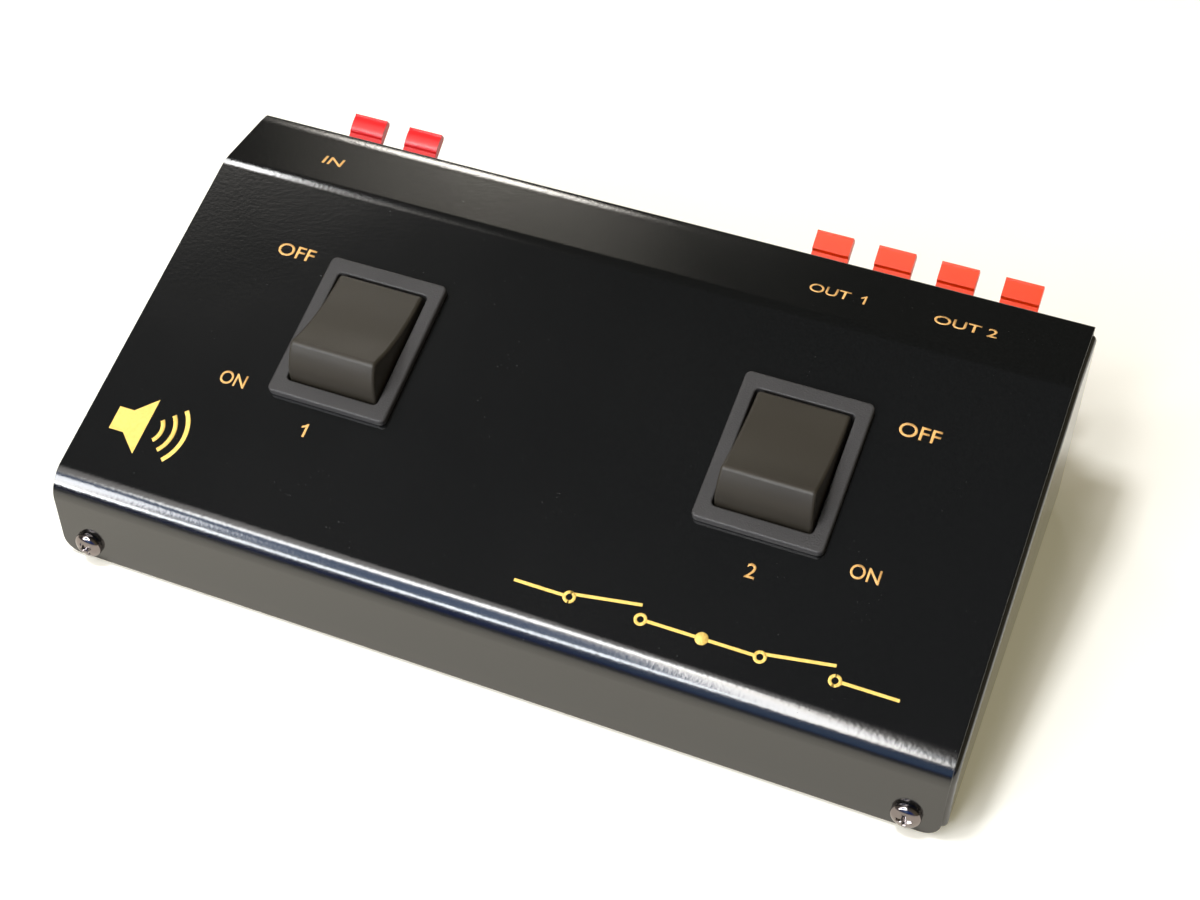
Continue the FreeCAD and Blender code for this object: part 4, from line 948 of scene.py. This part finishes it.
def terminal_housing(name):
    """A moulding with two ears, a window for each lever and a funnel for each wire."""
    place, columns = block_frame(name)
    rows = row_levels(name, place.translation.z)
    half_in = len(columns) * CELL_PITCH / 2
    tall_in = inner_half_height(name)
    wide, tall = half_in + BLOCK_MARGIN, tall_in + BLOCK_MARGIN
    mesh = bmesh.new()
    block(mesh, (-wide, 0, -tall), (wide, FLANGE_OUT, tall))
    soften(mesh, edges_where(mesh, lambda edge: length_along(edge, 1) > 0.5), BLOCK_CORNER, 4)
    wall_side = min(mesh.faces, key=lambda face: middle(face).y)
    inner = push(mesh, [wall_side], scale=(half_in / wide, 1, tall_in / tall))
    push(mesh, inner, move=(0, -BLOCK_DEPTH, 0))
    draw_ears(mesh, wide)
    windows, funnels = [], []
    for x in columns:
        for level in rows:
            high = level + WINDOW_RISE
            windows.append((x, WINDOW.x / 2, high - WINDOW.z, high))
            high = level - FUNNEL_DROP
            funnels.append((x, FUNNEL.x / 2, high - FUNNEL.z, high))
    for x, half, low, high in windows + funnels:
        for side in (-1, 1):
            cut(mesh, (x + side * half, 0, 0), RIGHT)
        cut(mesh, (0, 0, low), UP)
        cut(mesh, (0, 0, high), UP)
    for opening in windows:
        open_cell(mesh, *opening)
    for opening in funnels:
        open_funnel(mesh, *opening)
    bmesh.ops.dissolve_limit(
        mesh, angle_limit=math.radians(1), use_dissolve_boundaries=False, verts=mesh.verts,
        edges=mesh.edges, delimit={"NORMAL"},
    )
    bmesh.ops.recalc_face_normals(mesh, faces=mesh.faces)
    ear_ends = [e for e in sharp_edges(mesh, 60)
                if abs(middle(e).x) > wide + EAR.x - 0.1 and length_along(e, 1) > 1]
    soften(mesh, ear_ends, EAR_CORNER, 5)
    front = [e for e in sharp_edges(mesh, 40) if middle(e).y > EAR.y - NEAR]
    soften(mesh, front, BLOCK_EDGE, 3)
    node = f"{name}_terminal_housing"
    close(mesh, f"{name}_block", "case", FINISHES["block"], place, [node])


def lever(name, shade, index):
    """A finger lever: hub and pins across, tail inside, a raised finger pad outside."""
    crown = PAD_CROWN if (name, shade) == ("input", "red") else 0.0
    edge_top = PAD_TOP - crown
    tip = LEVER_LENGTH - LEVER_LIP
    ridge = ((PAD_START + tip) / 2, PAD_TOP)
    mesh = bmesh.new()
    slab(
        mesh,
        [
            (0, LEVER_UNDER),
            (LEVER_LENGTH - TIP_CHAMFER, LEVER_UNDER),
            (LEVER_LENGTH, LEVER_UNDER + TIP_CHAMFER),
            (LEVER_LENGTH, edge_top + TIP_RISE),
            (tip, edge_top + TIP_RISE),
            (tip - TIP_RISE, edge_top),
            ridge,
            (PAD_START + RISER, edge_top),
            (PAD_START, ARM_TOP),
            (0, ARM_TOP),
        ],
        2 * LEVER_HALF,
    )

    def across(edge):
        return length_along(edge, 0) > 1

    def on_ridge(edge):
        return across(edge) and abs(middle(edge).y - ridge[0]) < NEAR and middle(edge).z > 1

    if crown:
        soften(mesh, edges_where(mesh, on_ridge), CROWN_ROUND, 10)
    folds = [e for e in sharp_edges(mesh, 20) if across(e) and middle(e).y > 1]
    soften(mesh, folds, PAD_EDGE, 3)
    rims = [e for e in sharp_edges(mesh, 60)
            if abs(middle(e).x) > LEVER_HALF - 0.1 and middle(e).y > 0.5]
    soften(mesh, rims, RIM_ROUND, 3)
    cross_bar(mesh, LEVER_HUB, LEVER_HALF)
    cross_bar(mesh, PIN_RADIUS, LEVER_HALF + PIN_OUT)
    tail = LEVER_TAIL
    block(mesh, -tail, (tail.x, 0, tail.z))
    body = f"{name}_{shade}_lever_{index}"
    finish, slot = {
        ("input", "red"): ("input_red", "red_plastic_in"),
        ("output", "red"): ("output_red", "red_plastic_out"),
    }.get((name, shade), ("black_lever", "black_lever_plastic"))
    place = Matrix.Translation(JOINTS[f"{body}_press"]) @ rotation(LEVER_ANGLE, "X")
    close(mesh, f"{name}_{shade}_tab_{index}", body, FINISHES[finish], place, [body])


# ---------------------------------------------------------------- printing on the panel

INK_HEIGHT = 0.03
PANEL_WORD = 2.9
SHELF_WORD = 2.5
NUMERAL_ONE = [  # shares of its height, across and up
    (0.27, 0), (0.43, 0), (0.43, 1), (0.32, 1), (0.2, 0.86), (0, 0.76), (0, 0.61), (0.27, 0.73),
]
WAVE_RADII = (3.4, 5.9, 8.4)
WAVE_HALF = 0.45
WAVE_TURN = math.radians(84)
LOUDSPEAKER = [(-7.6, -2.5), (-4.4, -2.5), (-0.4, -6.2), (-0.4, 6.2), (-4.4, 2.5), (-7.6, 2.5)]
CIRCUIT_LENGTH = 73.0
CIRCUIT_LINE = 0.62
CIRCUIT_EYE = 1.25


def numeral_one(x, height):
    """The number 1 with its flag, standing at x on the line that the words stand on."""
    mesh = bmesh.new()
    flat_shape(mesh, [(x + across * height, (up - 0.5) * height) for across, up in NUMERAL_ONE])
    return mesh


def flat_shape(mesh, corners):
    """A printed shape with straight edges."""
    face = mesh.faces.new([mesh.verts.new((x, y, 0)) for x, y in corners])
    grow(mesh, face, (0, 0, INK_HEIGHT))


def printed_word(text, width, height):
    """A word as a thin solid that lies on the XY plane about its own middle."""
    curve = bpy.data.curves.new("word", "FONT")
    curve.body = text
    curve.extrude = 0.01
    curve.offset = 0.008
    thing = bpy.data.objects.new("word", curve)
    bpy.context.scene.collection.objects.link(thing)
    mesh = finished_mesh(thing)
    bmesh.ops.remove_doubles(mesh, verts=mesh.verts, dist=1e-5)
    spots = [vert.co for vert in mesh.verts]
    low = Vector(min(spot[axis] for spot in spots) for axis in range(3))
    high = Vector(max(spot[axis] for spot in spots) for axis in range(3))
    size = high - low
    bmesh.ops.translate(mesh, vec=-(low + high) / 2, verts=mesh.verts)
    scale = (width / size.x, height / size.y, INK_HEIGHT / size.z)
    bmesh.ops.scale(mesh, vec=scale, verts=mesh.verts)
    bmesh.ops.translate(mesh, vec=(0, 0, INK_HEIGHT / 2), verts=mesh.verts)
    return mesh


def slope_place(x, rise):
    """A point of the sloping panel, rise millimetres above its lower edge."""
    return panel_frame() @ Matrix.Translation((x, rise - SWITCH_RISE, 0))


def shelf_place(x, from_rear):
    """A point of the shelf, some millimetres ahead of the rear wall."""
    return Matrix.Translation((x, cover_high.y - from_rear, cover_high.z))


def ring(mesh, centre, outer, inner, steps, turn=math.tau, start=0.0):
    """A flat ring, or a part of one, with the ink's thickness."""
    spots = [(inner, 0), (outer, 0), (outer, INK_HEIGHT), (inner, INK_HEIGHT)]
    verts = [mesh.verts.new((radius, 0, height)) for radius, height in spots]
    face = mesh.faces.new(verts)
    bmesh.ops.rotate(mesh, cent=(0, 0, 0), matrix=rotation(start, "Z").to_3x3(), verts=verts)
    bmesh.ops.translate(mesh, vec=(*centre, 0), verts=verts)
    closed = turn >= math.tau
    bmesh.ops.spin(mesh, geom=[face], cent=(*centre, 0), axis=UP, angle=turn, steps=steps,
                   use_merge=closed)


def bar(mesh, start, end):
    """A straight printed line between two points."""
    start, end = Vector((*start, 0)), Vector((*end, 0))
    half = CIRCUIT_LINE / 2
    made = block(mesh, (0, -half, 0), ((end - start).length, half, INK_HEIGHT))
    turn = RIGHT.rotation_difference(end - start).to_matrix()
    bmesh.ops.rotate(mesh, cent=(0, 0, 0), matrix=turn, verts=made)
    bmesh.ops.translate(mesh, vec=start, verts=made)


def loudspeaker_sign():
    """The plain sign for a loudspeaker: box, horn and three sound waves."""
    mesh = bmesh.new()
    flat_shape(mesh, LOUDSPEAKER)
    mouth = (LOUDSPEAKER[2][0], 0)
    for radius in WAVE_RADII:
        ring(mesh, mouth, radius + WAVE_HALF, radius - WAVE_HALF, 20, WAVE_TURN, -WAVE_TURN / 2)
    return mesh


def circuit_sign():
    """A line diagram of two open switches in a row, joined by a dot."""
    mesh = bmesh.new()
    line, eye = CIRCUIT_LINE, CIRCUIT_EYE
    step = CIRCUIT_LENGTH / 2
    for index in range(2):
        left = (index - 1) * step
        first, second = left + step * 0.3, left + step * 0.68
        for contact in (first, second):
            ring(mesh, (contact, 0), eye, eye - line, 28)
        bar(mesh, (left + (eye if index else 0), 0), (first - eye, 0))
        bar(mesh, (first + 0.6, 0.75), (second - 0.6, 2.7))
        bar(mesh, (second + eye, 0), (left + step - (0 if index else eye), 0))
    ring(mesh, (0, 0), eye, 0.0, 28)
    return mesh


def print_panel():
    """Words and numbers by the switches and terminals, and a sign in each lower corner."""
    for name, text, width, height, place in (
        ("off_mark_1", "OFF", 8.1, PANEL_WORD, slope_place(-65.15, 62.3)),
        ("on_mark_1", "ON", 5.6, PANEL_WORD, slope_place(-64.8, 31.7)),
        ("off_mark_2", "OFF", 7.9, PANEL_WORD, slope_place(65.85, 60.5)),
        ("on_mark_2", "ON", 5.6, PANEL_WORD, slope_place(64.9, 30.5)),
        ("number_2", "2", 1.9, PANEL_WORD, slope_place(45.3, 24.7)),
        ("input_mark", "IN", 4.4, SHELF_WORD, shelf_place(-68.7, 10.4)),
        ("output_mark_1", "OUT", 8.2, SHELF_WORD, shelf_place(40.0, 10.6)),
        ("output_mark_2", "OUT 2", 12.4, SHELF_WORD, shelf_place(67.1, 10.5)),
    ):
        close(printed_word(text, width, height), name, "case", FINISHES["ink"], place)
    for name, mesh, ink, place in (
        ("number_1", numeral_one(-0.7, PANEL_WORD), "ink", slope_place(-46.3, 25.7)),
        ("output_number_1", numeral_one(0, SHELF_WORD), "ink", shelf_place(46.2, 10.6)),
        ("loudspeaker_sign", loudspeaker_sign(), "sign_ink", slope_place(-76.5, 16.8)),
        ("circuit_sign", circuit_sign(), "sign_ink", slope_place(41.2, 9.6)),
    ):
        close(mesh, name, "case", FINISHES[ink], place)


# ---------------------------------------------------------------- camera, table and light

# places and sizes here are in metres, turns in degrees and the lens in millimetres
CAMERA_PLACE = (0.1062, -0.2580, 0.2876)
CAMERA_TURN = (45.64, -0.584, 22.203)
CAMERA_LENS = 58.08
TABLE_GAP = 0.0001
TABLE_HALF = 3.0
TABLE_GLOW = colour(0.19, 0.17, 0.1)
# painted reflection: the table's colours as the gloss paint mirrors them in front of the box, near it
# and further out
TABLE_PAINTED_REFLECTION = colour(0.87, 0.82, 0.71)
TABLE_PAINTED_DARK_REFLECTION = colour(0.04, 0.04, 0.05)
BESIDE_BOX = (-0.045, -0.055)
TABLE_FRONT = (-0.065, -0.2)
# height of the direction looked in, and the room's shade there
ROOM_SHADES = [
    (0.0, (0.4, 0.37, 0.31)),
    (0.3, (0.26, 0.24, 0.2)),
    (0.6, (0.16, 0.15, 0.14)),
    (0.84, (0.075, 0.075, 0.075)),
    (1.0, (0.06, 0.062, 0.065)),
]
# direction, reach and core in degrees, and shade
ROOM_PATCHES = [
    # the walls behind and to the right, and something dark in front with blue light beside it
    ((-0.25, 0.75, 0.6), 50, 30, (0.03, 0.03, 0.025)),
    ((0.93, 0.15, 0.25), 75, 30, (0.19, 0.165, 0.11)),
    ((-0.5, -0.86, -0.1), 48, 28, (0.05, 0.042, 0.05)),
    ((0.05, -1.0, -0.1), 40, 24, (0.01, 0.06, 0.34)),
    ((-0.08, -0.97, 0.2), 13, 4, (0.2, 0.36, 0.68)),
    # the glow around the ceiling lamp, with the blue of the window under it
    ((-0.42, -0.56, 0.72), 22, 5, (1.7, 1.65, 1.6)),
    ((-0.32, -0.38, 0.87), 16, 5, (1.7, 1.65, 1.6)),
    ((-0.18, -0.67, 0.72), 10, 4, (1.9, 1.85, 1.8)),
    ((-0.35, -0.74, 0.57), 16, 10, (0.5, 0.76, 1.3)),
    ((-0.24, -0.74, 0.62), 13, 8, (0.5, 0.76, 1.3)),
    # a lit doorway behind, with the glow over it, and the glow around the side lamp
    ((-0.35, 0.716, 0.604), 7, 0, (0.5, 0.47, 0.4)),
    ((-0.36, 0.807, 0.472), 5, 2, (14.0, 13.3, 12.2)),
    ((-0.51, 0.28, 0.81), 11, 0, (1.6, 1.52, 1.4)),
]


def camera():
    data = bpy.data.cameras.new("camera")
    data.lens = CAMERA_LENS
    data.sensor_width = 36.0
    data.clip_start = 0.01
    data.clip_end = 20.0
    thing = bpy.data.objects.new("camera", data)
    thing.location = CAMERA_PLACE
    thing.rotation_euler = [math.radians(angle) for angle in CAMERA_TURN]
    bpy.context.scene.collection.objects.link(thing)
    bpy.context.scene.camera = thing


def table_top():
    """A pale table, a little mottled, with a glow of its own that keeps it white.

    What the gloss paint mirrors of it is painted reflection: a warmer, dimmer tone just in front of the
    box, fading to a painted dark reflection a hand's breadth out.
    """
    cloth = Finish("pale_table", IOR=1.4, Roughness=0.9, Emission_Strength=1.0)
    mottle = cloth.grain(60.0, detail=3.0)
    pale = cloth.blend(mottle, colour(0.89, 0.88, 0.85), colour(0.93, 0.92, 0.89))
    along = cloth.node("SeparateXYZ", out="Y", Vector=cloth.place())
    front, beyond = (cloth.smooth_step(along, *reach) for reach in (BESIDE_BOX, TABLE_FRONT))
    # painted reflection: glossy rays see the table in front of the box in painted colours, not as it is
    # lit
    mirrored = cloth.looked_at_by("Glossy") * front
    painted_reflection = cloth.blend(beyond, TABLE_PAINTED_REFLECTION, TABLE_PAINTED_DARK_REFLECTION)
    cloth.set("Base Color", cloth.blend(mirrored, pale, painted_reflection))
    glow = cloth.blend(cloth.seen_direct() * (1 - mirrored), colour(0, 0, 0), TABLE_GLOW)
    cloth.set("Emission Color", glow)
    mesh = bmesh.new()
    bmesh.ops.create_grid(mesh, x_segments=1, y_segments=1, size=TABLE_HALF)
    bmesh.ops.translate(mesh, vec=(0, 0, -TABLE_GAP), verts=mesh.verts)
    thing = new_object(mesh, "table")
    thing.data.materials.append(cloth.material)


class Room(Nodes):
    """The world: a dim room whose patches of light have soft edges."""

    def __init__(self):
        self.world = bpy.data.worlds.new("room")
        self.world.use_nodes = True
        super().__init__(self.world.node_tree)
        self.out = self.tree.nodes["Background"]
        self.direction = self.node("TexCoord", out="Generated")

    def height(self):
        return self.node("SeparateXYZ", out="Z", Vector=self.direction)

    def patch(self, towards, reach, core):
        """1 within core degrees of a direction, 0 from reach degrees away."""
        towards = Vector(towards).normalized()
        along = self.node(
            "VectorMath", {"operation": "DOT_PRODUCT"}, out="Value", _0=self.direction, _1=towards
        )
        return self.smooth_step(along, *(math.cos(math.radians(angle)) for angle in (reach, core)))


def room():
    """Dim overhead and behind the eye, with patches that the gloss paint mirrors."""
    place = Room()
    light = place.ramp(place.height(), *ROOM_SHADES)
    for towards, reach, core, shade in ROOM_PATCHES:
        light = place.blend(place.patch(towards, reach, core), light, colour(*shade))
    light = place.blend(place.looked_at_by("Camera"), light, colour(1, 1, 1))
    place.feed(place.out.inputs["Color"], light)
    bpy.context.scene.world = place.world


def lamp(name, start, end, width, watts, tone=(1, 1, 1), mirrored=True):
    """A lit panel between the middles of its two ends, facing the object."""
    start, end = Vector(start), Vector(end)
    centre = (start + end) / 2
    along = (end - start).normalized()
    away = centre - along * centre.dot(along)
    away.normalize()
    turn = Matrix((along, away.cross(along), away)).transposed()
    data = bpy.data.lights.new(name, "AREA")
    data.shape = "RECTANGLE"
    data.size, data.size_y = (end - start).length, width
    data.energy = watts
    data.color = tone
    thing = bpy.data.objects.new(name, data)
    thing.matrix_world = Matrix.Translation(centre) @ turn.to_4x4()
    thing.visible_camera = False
    thing.visible_glossy = mirrored
    bpy.context.scene.collection.objects.link(thing)


def lights():
    """Two long lamps and two windows that line the front bend, a small lamp whose glow lies on
    the shelf, and a soft light overhead that isn't mirrored."""
    lamp("ceiling_lamp", (-0.84, -1.04, 1.2), (-0.22, -0.64, 1.2), 0.18, 5.8)
    lamp("low_lamp", (-0.62, -0.947, 0.215), (-0.12, -0.947, 0.51), 0.09, 2.6, (0.93, 0.97, 1.0))
    lamp("left_window", (-0.68, -0.947, 0.2), (-0.68, -0.947, 0.75), 0.17, 3.2)
    lamp("right_window", (-0.02, -0.947, 0.46), (-0.3, -0.947, 1.7), 0.17, 8.2, (1.0, 0.97, 0.92))
    lamp("side_lamp", (-0.525, 0.46, 0.79), (-0.535, 0.28, 0.86), 0.05, 0.64)
    lamp("soft_light", (-0.4, -0.24, 1.25), (-0.2, -0.24, 1.25), 0.22, 9.3, mirrored=False)


def build():
    dress_inner_nodes()
    top_cover()
    base_tray()
    rubber_feet()
    all_screws()
    for which in "12":
        switch_frame(which)
        rocker(which)
    for name in ("input", "output"):
        terminal_housing(name)
        for shade in ("red", "black"):
            for index in range(1, len(block_frame(name)[1]) + 1):
                lever(name, shade, index)
    print_panel()
    camera()
    table_top()
    room()
    lights()
    bpy.context.scene.view_settings.view_transform = "Standard"


build()
